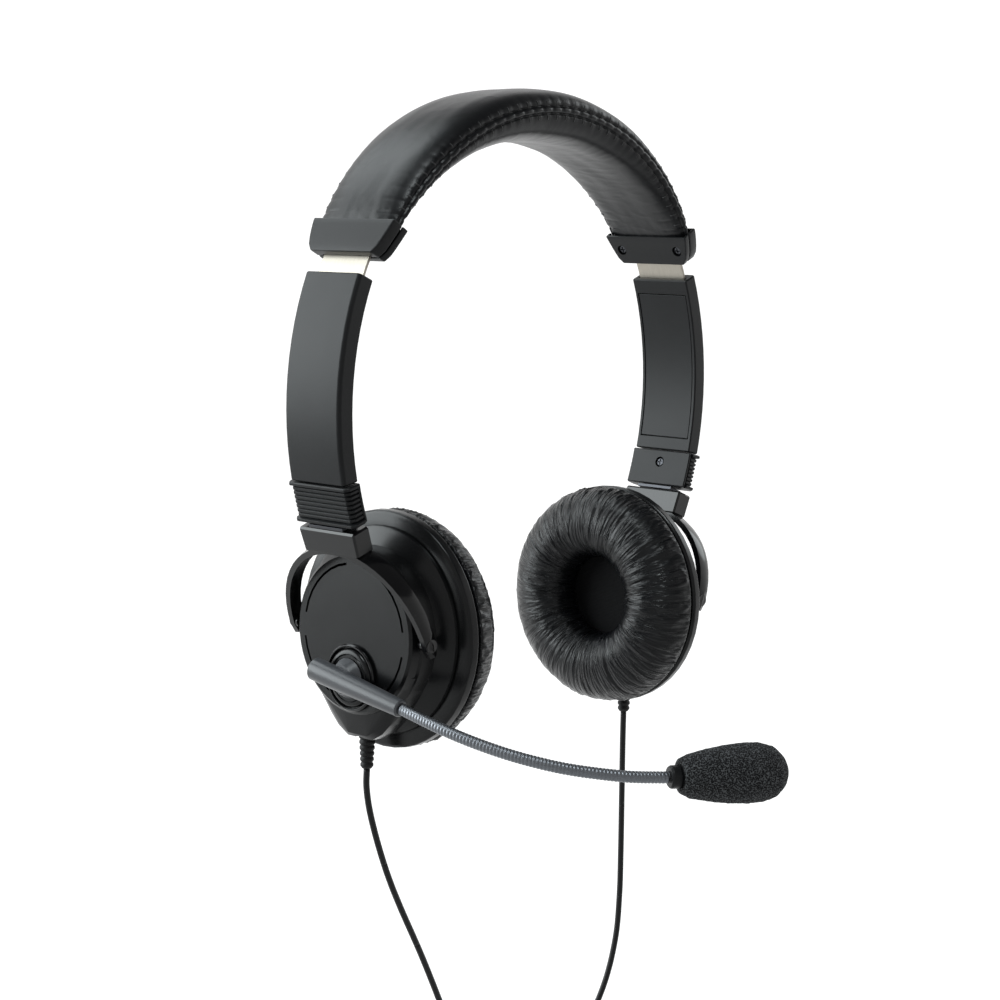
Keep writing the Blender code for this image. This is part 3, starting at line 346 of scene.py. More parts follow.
def finish_of(key):
    """A named finish, made once."""
    found = bpy.data.materials.get(key)
    if found:
        return found
    make, colours, *rest = FINISHES[key]
    look = bpy.context.scene.headset_look
    return make(key, [getattr(look, colour, colour) for colour in colours], *rest)


def smooth_faces():
    """Geometry nodes that drop a CAD node's flat shading, so that its round faces shade as round."""
    name = "smooth_faces"
    if name in bpy.data.node_groups:
        return bpy.data.node_groups[name]
    group = bpy.data.node_groups.new(name, "GeometryNodeTree")
    group.interface.new_socket("Geometry", in_out="INPUT", socket_type="NodeSocketGeometry")
    group.interface.new_socket("Geometry", in_out="OUTPUT", socket_type="NodeSocketGeometry")
    mesh = group.nodes.new("NodeGroupInput").outputs[0]
    for attribute in ("custom_normal", "sharp_edge"):
        cleared = add_node(group, "GeometryNodeRemoveAttribute", {}, {"Geometry": mesh, "Name": attribute})
        mesh = cleared.outputs[0]
    smooth = add_node(group, "GeometryNodeSetShadeSmooth", {}, {"Geometry": mesh, "Shade Smooth": True})
    group.links.new(smooth.outputs[0], group.nodes.new("NodeGroupOutput").inputs[0])
    return group


def paint_nodes(key, *names, edge=0.15 * MM):
    """Gives CAD nodes a finish, smooth round faces and a small rounding on edges sharper than 32 degrees."""
    for name in names:
        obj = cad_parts[name]
        obj.data.materials.clear()
        obj.data.materials.append(finish_of(key))
        obj.modifiers.new("weld", "WELD").merge_threshold = 0.002 * MM
        obj.modifiers.new("smooth", "NODES").node_group = smooth_faces()
        planar = obj.modifiers.new("planar", "DECIMATE")
        planar.decimate_type = "DISSOLVE"
        planar.angle_limit = math.radians(0.4)
        rounding = obj.modifiers.new("rounding", "BEVEL")
        rounding.width, rounding.segments = edge, 2
        rounding.limit_method, rounding.angle_limit = "ANGLE", math.radians(32)
        rounding.use_clamp_overlap = True
        obj.modifiers.new("normals", "WEIGHTED_NORMAL").keep_sharp = True


def new_object(name, data):
    """An object in the scene."""
    obj = bpy.data.objects.new(name, data)
    bpy.context.scene.collection.objects.link(obj)
    return obj


def new_mesh(name, points, faces, finish, smooth=True):
    """A mesh object in one finish."""
    mesh = bpy.data.meshes.new(name)
    mesh.from_pydata([tuple(p) for p in points], [], faces)
    mesh.validate()
    if smooth:
        mesh.shade_smooth()
    mesh.materials.append(finish)
    return new_object(name, mesh)


def add_piece(name, points, faces, key, body, smooth=True):
    """A mesh piece in a finish, which rides on a body if one is given."""
    obj = new_mesh(name, points, faces, finish_of(key), smooth)
    if body:
        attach(obj, body)
    return obj


def loft_faces(rings, around, wrap=False, offset=0):
    """Faces between rings of points that are stored one after another."""
    faces = []
    for k in range(rings if wrap else rings - 1):
        first, second = k * around, ((k + 1) % rings) * around
        for i in range(around):
            j = (i + 1) % around
            faces.append((offset + first + i, offset + first + j, offset + second + j, offset + second + i))
    return faces


def circle(count):
    """Cosine and sine at even steps round a circle."""
    return [(math.cos(2 * math.pi * k / count), math.sin(2 * math.pi * k / count)) for k in range(count)]


def ring_points(place, radius, height, around):
    """A ring of points round an axis, taken to the frame."""
    return [place @ Vector((radius * c, radius * s, height)) for c, s in circle(around)]


def walk_along(points):
    """Distance walked to each point of a line."""
    return np.concatenate([[0], np.cumsum(np.linalg.norm(np.diff(points, axis=0), axis=1))])


def curve_between(a, b, c, d, t):
    """A point between b and c, at share t, on a smooth curve that also passes a and d."""
    return 0.5 * (2 * b + (c - a) * t + (2 * a - 5 * b + 4 * c - d) * t * t
                  + (3 * b - a - 3 * c + d) * t ** 3)


def smooth_route(points, spacing):
    """Even points along a smooth curve through the route's own points, which are in millimetres."""
    route = [Vector(p) * MM for p in points]
    ends = [2 * route[0] - route[1], *route, 2 * route[-1] - route[-2]]
    fine = []
    for a, b, c, d in zip(ends, ends[1:], ends[2:], ends[3:]):
        fine += [curve_between(a, b, c, d, k / 24) for k in range(24)]
    fine = np.array([*fine, route[-1]])
    walked = walk_along(fine)
    goals = np.linspace(0, walked[-1], max(3, round(walked[-1] / spacing)) + 1)
    return np.stack([np.interp(goals, walked, fine[:, axis]) for axis in range(3)], axis=1)


def tube_points(line, around, radius):
    """Ring points of a tube along a line. radius gives the radius for (length along, angle round)."""
    ahead = np.gradient(line, axis=0)
    ahead /= np.linalg.norm(ahead, axis=1)[:, None]
    side = np.cross(ahead[0], (0.31, 0.89, 0.33))
    angles = 2 * math.pi * np.arange(around) / around
    rings = []
    for centre, way, along in zip(line, ahead, walk_along(line)):
        side = side - way * np.dot(side, way)
        side /= np.linalg.norm(side)
        other = np.cross(way, side)
        reach = radius(along, angles)[:, None]
        rings.append(centre + reach * (np.cos(angles)[:, None] * side + np.sin(angles)[:, None] * other))
    return np.concatenate(rings)


def add_tube(name, line, around, radius, key, body):
    """A closed tube along a line."""
    rings = len(line)
    faces = loft_faces(rings, around)
    faces.append(tuple(range(around))[::-1])
    faces.append(tuple(range((rings - 1) * around, rings * around)))
    return add_piece(name, tube_points(line, around, radius), faces, key, body)


def round_tube(across):
    """The radius, for tube_points, of a plain round tube."""
    return lambda along, angles: np.full(len(angles), across / 2)


def smooth_section(points, count):
    """Even points round a closed smooth curve through (radius, height) points."""
    given = np.array(points + points[:3], float)
    t = np.linspace(0, 1, 12, endpoint=False)[:, None]
    fine = [curve_between(a, b, c, d, t) for a, b, c, d in zip(given, given[1:], given[2:], given[3:])]
    fine = np.concatenate([*fine, fine[0][:1]])
    walked = walk_along(fine)
    goals = np.linspace(0, walked[-1], count, endpoint=False)
    return np.stack([np.interp(goals, walked, fine[:, axis]) for axis in range(2)], axis=1)


def add_lathe(name, profile, around, to_frame, key, body):
    """A turned piece. Its (radius, height) profile goes from its top down the outside, axis to axis."""
    inner = profile[1:-1]
    points = []
    for radius, height in inner:
        points += ring_points(to_frame, radius, height, around)
    faces = loft_faces(len(inner), around)
    top, bottom = len(points), len(points) + 1
    points += [to_frame @ Vector((0, 0, height)) for _, height in (profile[0], profile[-1])]
    last = (len(inner) - 1) * around
    for i in range(around):
        j = (i + 1) % around
        faces += [(top, j, i), (bottom, last + i, last + j)]
    obj = add_piece(name, points, [f[::-1] for f in faces], key, body)
    obj.data.set_sharp_from_angle(angle=math.radians(34))
    return obj


def ear_frame(side, z=0.0):
    """From a piece's own axes in millimetres to the frame: its Z points out along the ear axis."""
    turn = Matrix.Rotation(side * math.pi / 2, 4, "Y")
    return Matrix.Translation((0, 0, z)) @ turn @ Matrix.Scale(MM, 4)


def ridges(place, sharp):
    """Ridged noise from 0 to 1: gathers in leather are rounded folds with sharp valleys between."""
    return (1 - abs(noise.noise(Vector(place)))) ** sharp


# Leads


def coil_points():
    """The coil: an outer layer of turns to the back, an inner layer to the front, then out to the plug."""
    x, z = COIL_CENTRE
    per_turn = 16
    made = []
    for k in range(1, round(COIL_TURNS * per_turn) + 1):
        turn = k / per_turn
        radius = np.interp(turn, (0, 6.1, 6.4, COIL_TURNS), (COIL_OUTER, COIL_OUTER, COIL_INNER, COIL_INNER))
        y = np.interp(turn, (0, 0.1, 6.1, 6.4, 12.4, COIL_TURNS),
                      (-COIL_HALF, -COIL_HALF, COIL_HALF, COIL_HALF, -COIL_HALF, TAIL_ROUTE[0][1]))
        angle = 2 * math.pi * turn
        made.append((x + radius * math.sin(angle), y, z + radius * math.cos(angle)))
    return made


def add_branch(name):
    """One thin lead from an ear cup down to the splitter, in three lengths.

    Its points are a millimetre apart, so the number of a cut is also its place in millimetres.
    """
    line = smooth_route(BRANCH_ROUTES[name], 1.0 * MM)
    cuts = (0, 34, 68, len(line) - 1)
    bodies = (f"cup_{name}", f"yoke_{name}", f"slider_{name}", "headband")
    labels = ("upper", "middle", "lower")
    for first, last, label, above, below in zip(cuts, cuts[1:], labels, bodies, bodies[1:]):
        part = line[first:last + 1]
        obj = add_tube(f"branch_lead_{name}_{label}", part, 12, round_tube(BRANCH_ACROSS), "pvc_extruded",
                       None)
        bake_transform(obj)
        if label == "lower":
            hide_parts(f"cord_{name}")


def strap_loop(middle, inner, wall, corner, steps):
    """Outline pairs of a rounded rectangular strap seen along its width: outside and inside points."""
    outline = []
    for quarter in range(4):
        for k in range(steps + 1):
            angle = math.pi / 2 * (quarter + k / steps)
            middle_of_quarter = math.pi / 2 * (quarter + 0.5)
            cx = math.copysign(inner[0] / 2 - corner, math.cos(middle_of_quarter))
            cz = math.copysign(inner[1] / 2 - corner, math.sin(middle_of_quarter))
            way = Vector((math.cos(angle), math.sin(angle)))
            centre = Vector((cx, cz))
            outline.append((centre + way * (corner + wall), centre + way * corner))
    return [(Vector(middle) + a, Vector(middle) + b) for a, b in outline]


class HEADSET_OT_leads(Operator):
    """Two branch leads and the coiled main lead, ending in the plug"""

    bl_idname = "headset.leads"
    bl_label = "Leads"

    def execute(self, context):
        for name in SIDES:
            add_branch(name)
        line = smooth_route(LEAD_ROUTE + coil_points() + TAIL_ROUTE, 1.2 * MM)
        obj = add_tube("main_lead", line, 12, round_tube(LEAD_ACROSS), "pvc_extruded", "headband")
        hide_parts("main_cord", "cord_coil", "plug_cord")
        plug = [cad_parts[part] for part in ("plug_body", "plug_shell", "plug_tongue")]
        with_pieces = [self.add_tie(), *plug]
        paint_nodes("tpe_moulded", "cord_splitter", "plug_body")
        paint_nodes("steel_nickel_plated", "plug_shell")
        paint_nodes("pbt_moulded", "plug_tongue")
        return {"FINISHED"}

    def add_tie(self):
        """The hook-and-loop strap round the coil's top."""
        low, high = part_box("cord_tie")
        middle, size = (low + high) / 2, high - low
        wall = 0.85 * MM
        outline = strap_loop((middle.y, middle.z), (size.y - 2 * wall, size.z - 2 * wall), wall, 1.2 * MM, 5)
        points, around = [], 4
        for out, inn in outline:
            for p, x in ((out, low.x), (out, high.x), (inn, high.x), (inn, low.x)):
                points.append((x, p.x, p.y))
        faces = [f[::-1] for f in loft_faces(len(outline), around, wrap=True)]
        obj = add_piece("coil_strap", points, faces, "nylon_hook_and_loop", "headband",
                        smooth=False)
        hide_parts("cord_tie")
        return obj


# Headband


def band_frame(along):
    """The band's point and outward direction, for along from -1 at the right cap to 1 at the left."""
    side = 1 if along > 0 else -1
    angle = math.pi / 2 - abs(along) * (math.pi / 2 - CUSHION_END)
    out = Vector((side * math.cos(angle), 0, math.sin(angle)))
    return Vector((0, 0, CREST_Z)) + out * CREST_R, out


def cushion_sizes(along):
    """Half width, height above and height below the band."""
    fill = (1 - abs(along) ** 2.6) ** 0.75
    below = (1 - abs(along) ** 1.8) ** 1.1
    return ((16.5 + 2.3 * fill) * MM, (2.5 + 4.3 * fill) * MM, (2.1 + 8.1 * below) * MM)


def seam_scale(above):
    """How far the seams draw together where the cushion thins out toward the caps."""
    return min(1.0, above / CREST_RISE + 0.3)


def cushion_section(along, count, seam_depth):
    """(across, rise, normal across, normal up) points round the cushion: panels, piping and its two seams."""
    half, above, below = cushion_sizes(along)
    angle = np.linspace(0, 2 * math.pi, 1601)
    c, s = np.cos(angle), np.sin(angle)
    across = half * np.sign(c) * np.abs(c) ** 0.6
    rise = np.sign(s) * np.abs(s) ** 0.75 * np.where(s > 0, above, below)
    scale = seam_scale(above)
    middle = (SEAM_HIGH + SEAM_LOW) / 2 * scale
    at_side = np.clip((np.abs(across) / half - 0.86) / 0.1, 0, 1)
    swell = np.zeros_like(rise)
    for seam in (SEAM_HIGH * scale, SEAM_LOW * scale):
        swell -= seam_depth * np.exp(-(((rise - seam) / (0.42 * MM)) ** 2)) * at_side
    swell += 0.45 * MM * np.exp(-(((rise - middle) / (0.85 * MM)) ** 2)) * at_side * scale
    da, dr = np.gradient(across), np.gradient(rise)
    size = np.hypot(da, dr) + 1e-12
    out_a, out_r = dr / size, -da / size
    density = 1 + 7 * at_side * np.exp(-(((rise - middle) / (2.2 * MM)) ** 2))
    walked = np.concatenate([[0], np.cumsum((size * density)[1:])])
    goals = np.linspace(0, walked[-1], count, endpoint=False)
    columns = (across + swell * out_a, rise + swell * out_r, out_a, out_r)
    return [np.interp(goals, walked, column) for column in columns]


class HEADSET_OT_headband(Operator):
    """Headband cushion with piped seams and stitching, spring band and end caps"""

    bl_idname = "headset.headband"
    bl_label = "Headband"

    def execute(self, context):
        look = context.scene.headset_look
        self.add_cushion(look)
        self.add_stitches(look)
        paint_nodes("spring_steel_brushed", "spring_band")
        for name in SIDES:
            paint_nodes("abs_moulded_satin", f"end_cap_outer_{name}", f"end_cap_inner_{name}", edge=0.5 * MM)
            paint_nodes("screw_steel_blackened", f"cap_screw_{name}_front", f"cap_screw_{name}_back")
        return {"FINISHED"}

    def add_cushion(self, look):
        stations, around = 360, 132
        skin, lining = [], []
        for k in range(stations + 1):
            along = math.sin((2 * k / stations - 1) * math.pi / 2)
            middle, out = band_frame(along)
            walk = along * CUSHION_REACH
            a, r, na, nr = cushion_section(along, around, look.seam_depth)
            phase = (walk / look.stitch_pitch + 0.5 * (self.stitches(look) + 1)) % 1.0 - 0.5
            pucker = math.exp(-((phase / 0.13) ** 2)) - 0.25
            edge = abs(along) ** 10
            for i, (c, s) in enumerate(circle(around)):
                near_seam = math.exp(-((r[i] / (2.6 * MM)) ** 2)) * (abs(a[i]) > 9 * MM)
                place = (a[i] / (5.5 * MM), walk / (16 * MM), r[i] / (6 * MM))
                soft = noise.noise(Vector(place)) * 0.18 * MM
                gather = (ridges((a[i] / (2.6 * MM), walk / (9 * MM), 7.3), 3) - 0.5) * 0.22 * MM * edge
                pull = -0.42 * MM * pucker * near_seam
                under = 0.0
                if r[i] < -2 * MM:
                    under = (ridges((a[i] / (9 * MM), walk / (4.2 * MM), 2.1), 4) - 0.6) * 0.07 * MM
                grow = soft * (1 - edge) + gather + pull + under
                p = middle + out * (r[i] + grow * nr[i]) + Vector((0, a[i] + grow * na[i], 0))
                skin.append(p)
                level = 0.9 * MM * max(-1.0, min(1.0, 6 * s))
                lining.append(middle + out * level + Vector((0, 10.95 * MM * c, 0)))
        rings = stations + 1
        o = rings * around
        faces = loft_faces(rings, around)
        faces += [f[::-1] for f in loft_faces(rings, around, offset=o)]
        for k, flip in ((0, False), (stations, True)):
            for i in range(around):
                j = (i + 1) % around
                face = (k * around + j, k * around + i, o + k * around + i, o + k * around + j)
                faces.append(face[::-1] if flip else face)
        obj = add_piece("headband_cover", skin + lining, faces, "pu_leatherette_headband", "headband")
        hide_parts("headband_cushion")

    def stitches(self, look):
        """How many stitches one seam has."""
        return int(2 * STITCH_REACH / look.stitch_pitch)

    def add_stitches(self, look):
        """Thread stitches across both seams on both edges, each drawn down into its pucker."""
        points, faces = [], []
        count, quarter, rings, around = self.stitches(look), 120, 7, 6
        for k in range(count):
            walk = (k - (count - 1) / 2) * look.stitch_pitch
            along = walk / CUSHION_REACH
            middle, out = band_frame(along)
            section = np.array(cushion_section(along, 4 * quarter, look.seam_depth))
            scale = seam_scale(cushion_sizes(along)[1])
            parts = (section[:, :quarter], section[:, 2 * quarter:quarter - 1:-1],
                     section[:, 4 * quarter - 1:3 * quarter:-1], section[:, 2 * quarter:3 * quarter + 1])
            for part, seam in zip(parts, (SEAM_HIGH, SEAM_HIGH, SEAM_LOW, SEAM_LOW)):
                walked = np.concatenate([[0], np.cumsum(np.hypot(np.diff(part[0]), np.diff(part[1])))])
                start = walked[np.argmax(np.abs(part[1]) > abs(seam) * scale)]
                line = []
                for step in np.linspace(-0.2, 2.3, rings):
                    a, r, na, nr = [np.interp(start + step * MM, walked, row) for row in part]
                    lift = (0.02 if -0.1 < step < 1.9 else -0.35) * MM
                    line.append(middle + out * (r + nr * lift) + Vector((0, a + na * lift, 0)))
                first = len(points)
                last = first + (rings - 1) * around
                points += list(tube_points(np.array(line), around, round_tube(0.42 * MM)))
                faces += loft_faces(rings, around, offset=first)
                faces.append(tuple(range(first, first + around))[::-1])
                faces.append(tuple(range(last, last + around)))
        add_piece("headband_stitching", points, faces, "polyester_thread_bonded", "headband")


# Sliders and yokes


class HEADSET_OT_sliders(Operator):
    """Sliders, ribbed sleeves and yokes"""

    bl_idname = "headset.sliders"
    bl_label = "Sliders and yokes"

    def execute(self, context):
        for name in SIDES:
            paint_nodes("abs_moulded_satin", f"slider_shell_{name}", edge=0.5 * MM)
            paint_nodes("abs_moulded_satin", f"slider_cover_{name}", f"ribbed_sleeve_{name}",
                        f"sleeve_cover_{name}")
            paint_nodes("screw_steel_blackened", f"sleeve_screw_{name}", f"pivot_pin_{name}_front",
                        f"pivot_pin_{name}_back", f"swivel_pin_{name}", f"detent_spring_{name}")
            paint_nodes("abs_moulded_gloss", f"yoke_fork_{name}", edge=0.6 * MM)
        return {"FINISHED"}


# Ear cups


class HEADSET_OT_cups(Operator):
    """Ear cup shells, baffles, drivers, their cloth and the strain reliefs"""

    bl_idname = "headset.cups"
    bl_label = "Ear cups"

    def execute(self, context):
        for name, side in SIDES.items():
            paint_nodes("abs_moulded_polished", f"outer_shell_{name}", f"cup_baffle_{name}", edge=0.3 * MM)
            paint_nodes("steel_nickel_plated", f"driver_{name}")
            self.add_cloth(name, side)
            self.add_relief(name, side)
        return {"FINISHED"}

    def add_cloth(self, name, side):
        """Acoustic cloth over the driver, drawn tight and a little crowned."""
        rings, around = 14, 96
        place = ear_frame(side)
        points = [place @ Vector((0, 0, CLOTH_AT))]
        for k in range(1, rings + 1):
            radius = CLOTH_R * k / rings
            points += ring_points(place, radius, CLOTH_AT + CLOTH_CROWN * (radius / CLOTH_R) ** 2, around)
        faces = [(0, 1 + (i + 1) % around, 1 + i) for i in range(around)]
        faces += loft_faces(rings, around, offset=1)
        obj = add_piece(f"speaker_cloth_{name}", points, [f[::-1] for f in faces], "acoustic_cloth_woven",
                        f"cup_{name}")
        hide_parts(f"driver_cloth_{name}")

    def add_relief(self, name, side):
        """Rubbery strain relief: ten rounded ribs that taper down to the lead."""
        low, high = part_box(f"strain_relief_{name}")
        ribs, thick, thin = 10, 3.2, 2.05
        profile = [(0, high.z), (thick * MM, high.z)]
        pitch = (high.z - low.z) / ribs
        for k in range(ribs):
            radius = (thick - (thick - thin) * (k + 0.5) / ribs) * MM
            for t, fall in ((0.06, 0.22), (0.2, 0.03), (0.42, 0.0), (0.62, 0.06), (0.78, 0.34), (0.9, 0.44)):
                profile.append((radius - fall * MM, high.z - pitch * (k + t)))
        profile += [(1.5 * MM, low.z), (0, low.z)]
        place = Matrix.Translation(((low.x + high.x) / 2, 0, 0))
        obj = add_lathe(f"relief_{name}", profile, 28, place, "tpe_moulded", f"cup_{name}")
        obj.data.shade_smooth()
        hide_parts(f"strain_relief_{name}")


class HEADSET_OT_ear_cushions(Operator):
    """Ear cushions: foam rings in leatherette, gathered at the flange and at the hole"""

    bl_idname = "headset.ear_cushions"
    bl_label = "Ear cushions"

    def execute(self, context):
        look = context.scene.headset_look
        for name, side in SIDES.items():
            self.add_cushion(name, side, look)
        return {"FINISHED"}

    def add_cushion(self, name, side, look):
        outline = [(37.2, 52.6), (37.7, 51.3), (37.3, 48.5), (36.3, 45.8), (33.9, 42.8), (30.4, 40.6),
                   (26.2, 39.4), (22.0, 39.5), (18.4, 41.0), (15.6, 43.55), (14.1, 46.9), (13.9, 49.85),
                   (14.6, 52.4), (20, 52.65), (26, 52.65), (32, 52.65)]
        # In millimetres: the flange's height, the ring's depth and the radius where it is deepest.
        flange, deep, crown = 52.6, 13.2, 26
        section, around = smooth_section(outline, 128), 640
        step = np.roll(section, -1, axis=0) - np.roll(section, 1, axis=0)
        step /= np.linalg.norm(step, axis=1)[:, None]
        normal = np.stack([-step[:, 1], step[:, 0]], axis=1)
        if np.dot(normal[0], section[0] - section.mean(axis=0)) < 0:
            normal = -normal
        place = ear_frame(side)
        seed = 3.7 if side > 0 else 11.9
        points = []
        for i, (radius, height) in enumerate(section):
            front = (flange - height) / deep
            on_skin = min(1.0, max(0.0, front * 7))
            outer = radius > crown
            at_seam = math.exp(-((front / 0.42) ** 2)) if outer else math.exp(-((front / 0.6) ** 2))
            for x, y in circle(around):
                fine = ridges((x * 24, y * 24, front * 1.1 + seed), 3.5) - 0.5
                wide = ridges((x * 10.5 + 4, y * 10.5, front * 1.7 + seed), 3) - 0.55
                calm = noise.noise(Vector((x * 2.4, y * 2.4, front * 1.3 + seed)))
                grow = look.gather / MM * (0.75 * fine * at_seam ** 1.4 + 0.6 * wide * (0.3 + 0.7 * at_seam))
                grow += 0.2 * calm
                grow -= 0.5 * math.exp(-((front / 0.045) ** 2)) * outer
                grow *= on_skin
                r = radius + normal[i][0] * grow
                h = height + normal[i][1] * grow
                points.append(place @ Vector((r * x, r * y, h)))
        faces = [f[::-1] for f in loft_faces(len(section), around, wrap=True)]
        obj = add_piece(f"ear_pad_{name}", points, faces, "pu_leatherette_ear", f"cup_{name}")
        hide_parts(f"ear_cushion_{name}")


# Boom and microphone


class HEADSET_OT_boom(Operator):
    """Boom hub with its turned rings, boom arm and wound gooseneck"""

    bl_idname = "headset.boom"
    bl_label = "Boom"

    def execute(self, context):
        place = ear_frame(-1, BOOM_Z)
        profile = [(0, 72.8), (5.2, 72.8), (5.45, 72.55), (5.7, 72.8), (7.2, 72.78), (7.45, 72.5),
                   (7.7, 72.75), (8.4, 72.7), (8.9, 72.4), (9.25, 71.8), (9.3, 71.4), (4.0, 71.35),
                   (4.0, 67.2), (0, 67.2)]
        obj = add_lathe("boom_hub", profile, 96, place, "abs_moulded_polished", "boom")
        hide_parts("boom_disc")
        paint_nodes("abs_moulded_gloss", "boom_bezel")
        # The arm's greyer finish is painted light, lifting it toward the brightness of its highlight.
        paint_nodes("abs_soft_touch", "boom_arm", edge=0.4 * MM)
        self.add_neck(context.scene.headset_look)
        return {"FINISHED"}

    def add_neck(self, look):
        """A steel core wound with strip: a helix whose turns stand proud and round."""
        line = smooth_route(NECK_ROUTE, look.neck_pitch / 8)
        pitch = look.neck_pitch

        def radius(along, angles):
            phase = along / pitch - angles / (2 * math.pi)
            return NECK_CORE + NECK_PROUD * np.abs(np.sin(math.pi * phase)) ** 0.7

        obj = add_tube("boom_neck", line, 20, radius, "gunmetal_wound", None)
        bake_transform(obj)
        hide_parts("gooseneck")


class HEADSET_OT_microphone(Operator):
    """Microphone housing and its foam windscreen"""

    bl_idname = "headset.microphone"
    bl_label = "Microphone"

    def execute(self, context):
        ahead = Vector((math.sin(MIC_HEADING), -math.cos(MIC_HEADING), 0))
        place = Matrix.Translation(MIC_START) @ ahead.to_track_quat("Z", "Y").to_matrix().to_4x4()
        steps, around = 90, 120
        outline = [(5.4, 0.0), (6.7, 0.08), (7.8, 0.24), (8.7, 0.42), (9.2, 0.6), (9.0, 0.74), (7.7, 0.86),
                   (5.3, 0.94), (2.6, 0.985), (0.0, 1.0)]
        radii = np.array([p[0] for p in outline]) * MM
        stops = np.array([p[1] for p in outline]) * FOAM_LONG + FOAM_START
        walked = np.concatenate([[0], np.cumsum(np.hypot(np.diff(radii), np.diff(stops)))])
        goals = np.linspace(0, walked[-1] * 0.998, steps)
        points = []
        for goal in goals:
            radius, stop = np.interp(goal, walked, radii), np.interp(goal, walked, stops)
            for x, y in circle(around):
                rough = noise.noise(Vector((x * radius, y * radius, stop)) / (0.9 * MM)) * 0.16 * MM
                lumps = noise.noise(Vector((x * radius, y * radius, stop)) / (6 * MM)) * 0.22 * MM
                reach = max(0.02 * MM, radius + rough + lumps - 0.1 * MM)
                points.append(place @ Vector((reach * x, reach * y, stop - 0.3 * MM * (radius < 3 * MM))))
        faces = loft_faces(steps, around)
        tip = len(points)
        points.append(place @ Vector((0, 0, FOAM_START + FOAM_LONG - 0.2 * MM)))
        last = (steps - 1) * around
        faces += [(tip, last + i, last + (i + 1) % around) for i in range(around)]
        first = len(points)
        for stop in (0.0, FOAM_BORE_DEEP):
            points += ring_points(place, FOAM_BORE_R, FOAM_START + stop, around)
        end = len(points)
        points.append(place @ Vector((0, 0, FOAM_START + FOAM_BORE_DEEP)))
        for i in range(around):
            j = (i + 1) % around
            faces.append((first + i, first + j, j, i))
            faces.append((first + around + i, first + around + j, first + j, first + i))
            faces.append((end, first + around + j, first + around + i))
        obj = add_piece("foam_cover", points, faces, "polyurethane_foam_open_cell", "mic")
        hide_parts("foam_windscreen")
        paint_nodes("abs_moulded_satin", "mic_housing")
        paint_nodes("steel_nickel_plated", "mic_capsule")
        return {"FINISHED"}


# Studio


class HEADSET_OT_studio(Operator):
    """Camera, pale floor and soft lights"""

    bl_idname = "headset.studio"
    bl_label = "Studio"

    def execute(self, context):
        look = context.scene.headset_look
        self.add_camera(look)
        self.add_floor(look)
        for softbox in SOFTBOXES:
            self.add_light(look, *softbox)
        world = bpy.data.worlds.new("studio_air")
        world.use_nodes = True
        sky = world.node_tree.nodes["Background"]
        sky.inputs["Color"].default_value = linear("#ffffff")
        sky.inputs["Strength"].default_value = look.air
        context.scene.world = world
        context.scene.view_settings.view_transform = "Standard"
        return {"FINISHED"}

    def stand(self, name, data, aim, azimuth, elevation, away, roll=0.0):
        """Stands a camera or a lamp away from its aim, at angles in radians, and turns it to face that."""
        back = Vector((math.sin(azimuth) * math.cos(elevation), -math.cos(azimuth) * math.cos(elevation),
                       math.sin(elevation)))
        obj = new_object(name, data)
        obj.location = aim + back * away
        obj.rotation_mode = "QUATERNION"
        obj.rotation_quaternion = (-back).to_track_quat("-Z", "Y") @ Quaternion((0, 0, 1), roll)
        return obj

    def add_camera(self, look):
        data = bpy.data.cameras.new("camera")
        data.lens, data.sensor_width = 79.5, 36.0
        data.clip_start, data.clip_end = 0.05, 50.0
        bpy.context.scene.camera = self.stand("camera", data, CAMERA_AIM, look.camera_azimuth,
                                              look.camera_elevation, look.camera_away, CAMERA_ROLL)

    def add_floor(self, look):
        """A floor that sweeps up into a wall all round."""
        around = 96
        level = CAD_BOX[0].z - 0.5 * MM
        flat, bend, wall = 2.4, 1.2, 3.2
        profile = [(0.5, 0.0), (flat, 0.0)]
        for t in np.linspace(0.1, math.pi / 2, 14):
            profile.append((flat + bend * math.sin(t), bend - bend * math.cos(t)))
        profile.append((flat + bend, wall))
        points = [(0, 0, level)]
        for radius, rise in profile:
            points += [(radius * c, radius * s, level + rise) for c, s in circle(around)]
        faces = [(0, 1 + i, 1 + (i + 1) % around) for i in range(around)]
        faces += [f[::-1] for f in loft_faces(len(profile), around, offset=1)]
        paper = studio_paper("background_paper_matt", look.paper_glow)
        new_mesh("studio_floor", points, faces, paper)

    def add_light(self, look, name, azimuth, elevation, away, size, power):
        data = bpy.data.lights.new(name, "AREA")
        data.shape, data.size, data.energy = "DISK", size, power * look.light
        data.color = SOFTBOX_TINT
        aim = Vector((0, 0, 40 * MM))
        self.stand(name, data, aim, math.radians(azimuth), math.radians(elevation), away)


# Add-on


LENGTH = {"subtype": "DISTANCE", "unit": "LENGTH"}
ANGLE = {"subtype": "ANGLE", "unit": "ROTATION"}


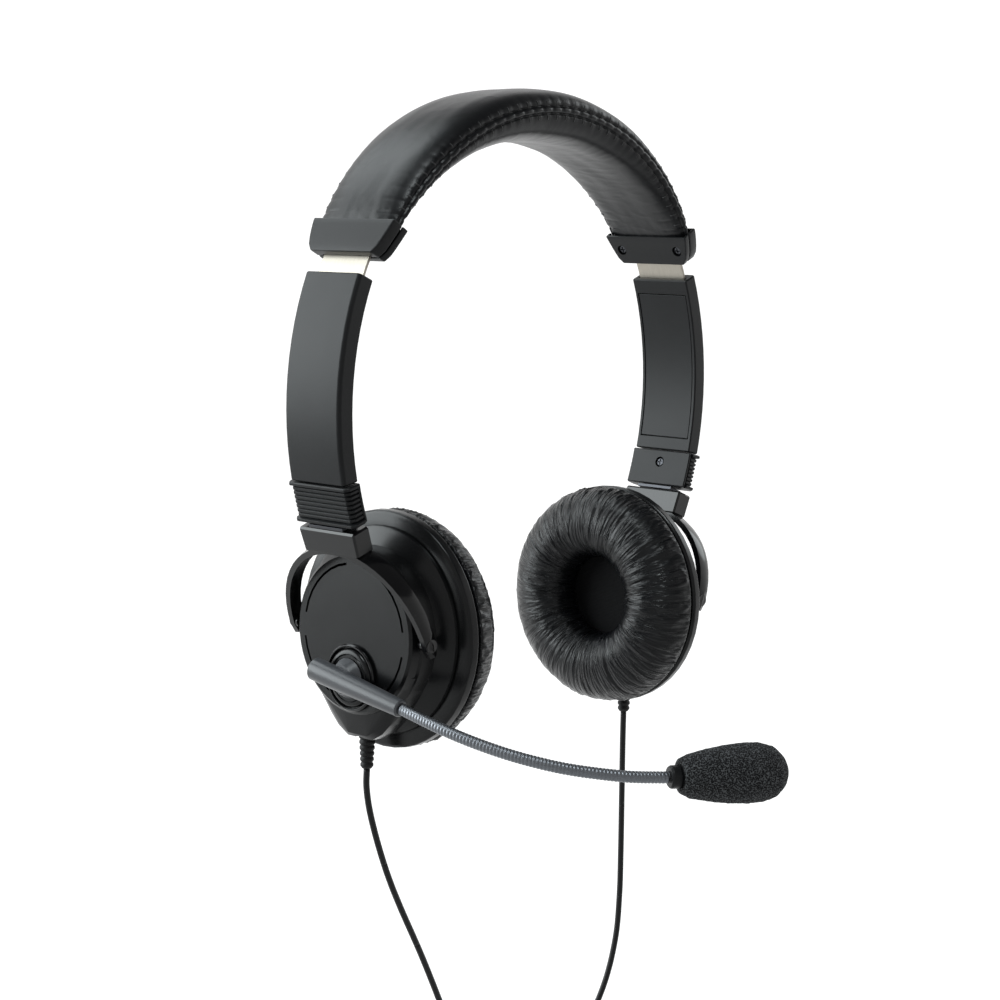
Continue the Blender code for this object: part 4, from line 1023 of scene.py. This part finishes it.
class HeadsetLook(bpy.types.PropertyGroup):
    """Sizes, colours and light that a user may change"""

    plastic: StringProperty(
        name="Satin plastic", description="sRGB hex colour of the shells", default="#111213")
    gloss: StringProperty(
        name="Gloss plastic", description="sRGB hex colour of the forks", default="#08080a")
    leather: StringProperty(
        name="Leatherette", description="sRGB hex colour of the cushions", default="#0c0d0f")
    steel: StringProperty(
        name="Band steel", description="sRGB hex colour of the spring band", default="#a09a90")
    gunmetal: StringProperty(
        name="Gunmetal", description="sRGB hex colour of the gooseneck", default="#63666b")
    lead_length: FloatProperty(
        name="Main lead", description="Length from the splitter to the plug", default=1.63, **LENGTH)
    stitch_pitch: FloatProperty(
        name="Stitch pitch", description="Spacing of the headband stitches", default=4.5 * MM, precision=4,
        **LENGTH)
    seam_depth: FloatProperty(
        name="Seam depth", description="Depth of the headband's piping seams", default=0.6 * MM, precision=4,
        **LENGTH)
    gather: FloatProperty(
        name="Gather", description="Depth of the ear cushions' wrinkles", default=1.1 * MM, precision=4,
        **LENGTH)
    neck_pitch: FloatProperty(
        name="Neck pitch", description="Pitch of the gooseneck's winding", default=1.1 * MM, precision=4,
        **LENGTH)
    camera_azimuth: FloatProperty(
        name="Camera azimuth", description="Turn of the camera round the object",
        default=math.radians(-47.65), **ANGLE)
    camera_elevation: FloatProperty(
        name="Camera elevation", description="Height angle of the camera",
        default=math.radians(6.77), **ANGLE)
    camera_away: FloatProperty(
        name="Camera distance", description="From the camera to what it looks at", default=0.7329, **LENGTH)
    light: FloatProperty(
        name="Light", description="Strength of the softboxes", default=1.0, min=0.0)
    air: FloatProperty(
        name="Air light", description="Strength of the even light", default=0.12, min=0.0)
    paper_glow: FloatProperty(
        name="Paper glow", description="Lift of the background to white", default=0.94, min=0.0)


OPERATORS = (HEADSET_OT_studio, HEADSET_OT_leads, HEADSET_OT_headband, HEADSET_OT_sliders, HEADSET_OT_cups,
             HEADSET_OT_ear_cushions, HEADSET_OT_boom, HEADSET_OT_microphone)


class HEADSET_PT_panel(bpy.types.Panel):
    """Lists the settings and the steps"""

    bl_idname = "HEADSET_PT_panel"
    bl_label = "Office headset"
    bl_space_type = "VIEW_3D"
    bl_region_type = "UI"
    bl_category = "Headset"

    def draw(self, context):
        look = context.scene.headset_look
        for key in HeadsetLook.__annotations__:
            self.layout.prop(look, key)
        for operator in OPERATORS:
            self.layout.operator(operator.bl_idname)


CLASSES = (HeadsetLook, *OPERATORS, HEADSET_PT_panel)


def register():
    for cls in CLASSES:
        bpy.utils.register_class(cls)
    bpy.types.Scene.headset_look = PointerProperty(type=HeadsetLook)


def unregister():
    del bpy.types.Scene.headset_look
    for cls in reversed(CLASSES):
        bpy.utils.unregister_class(cls)


def main():
    register()
    for operator in OPERATORS:
        group, action = operator.bl_idname.split(".")
        getattr(getattr(bpy.ops, group), action)()
    bpy.context.view_layer.update()


if __name__ == "__main__":
    main()
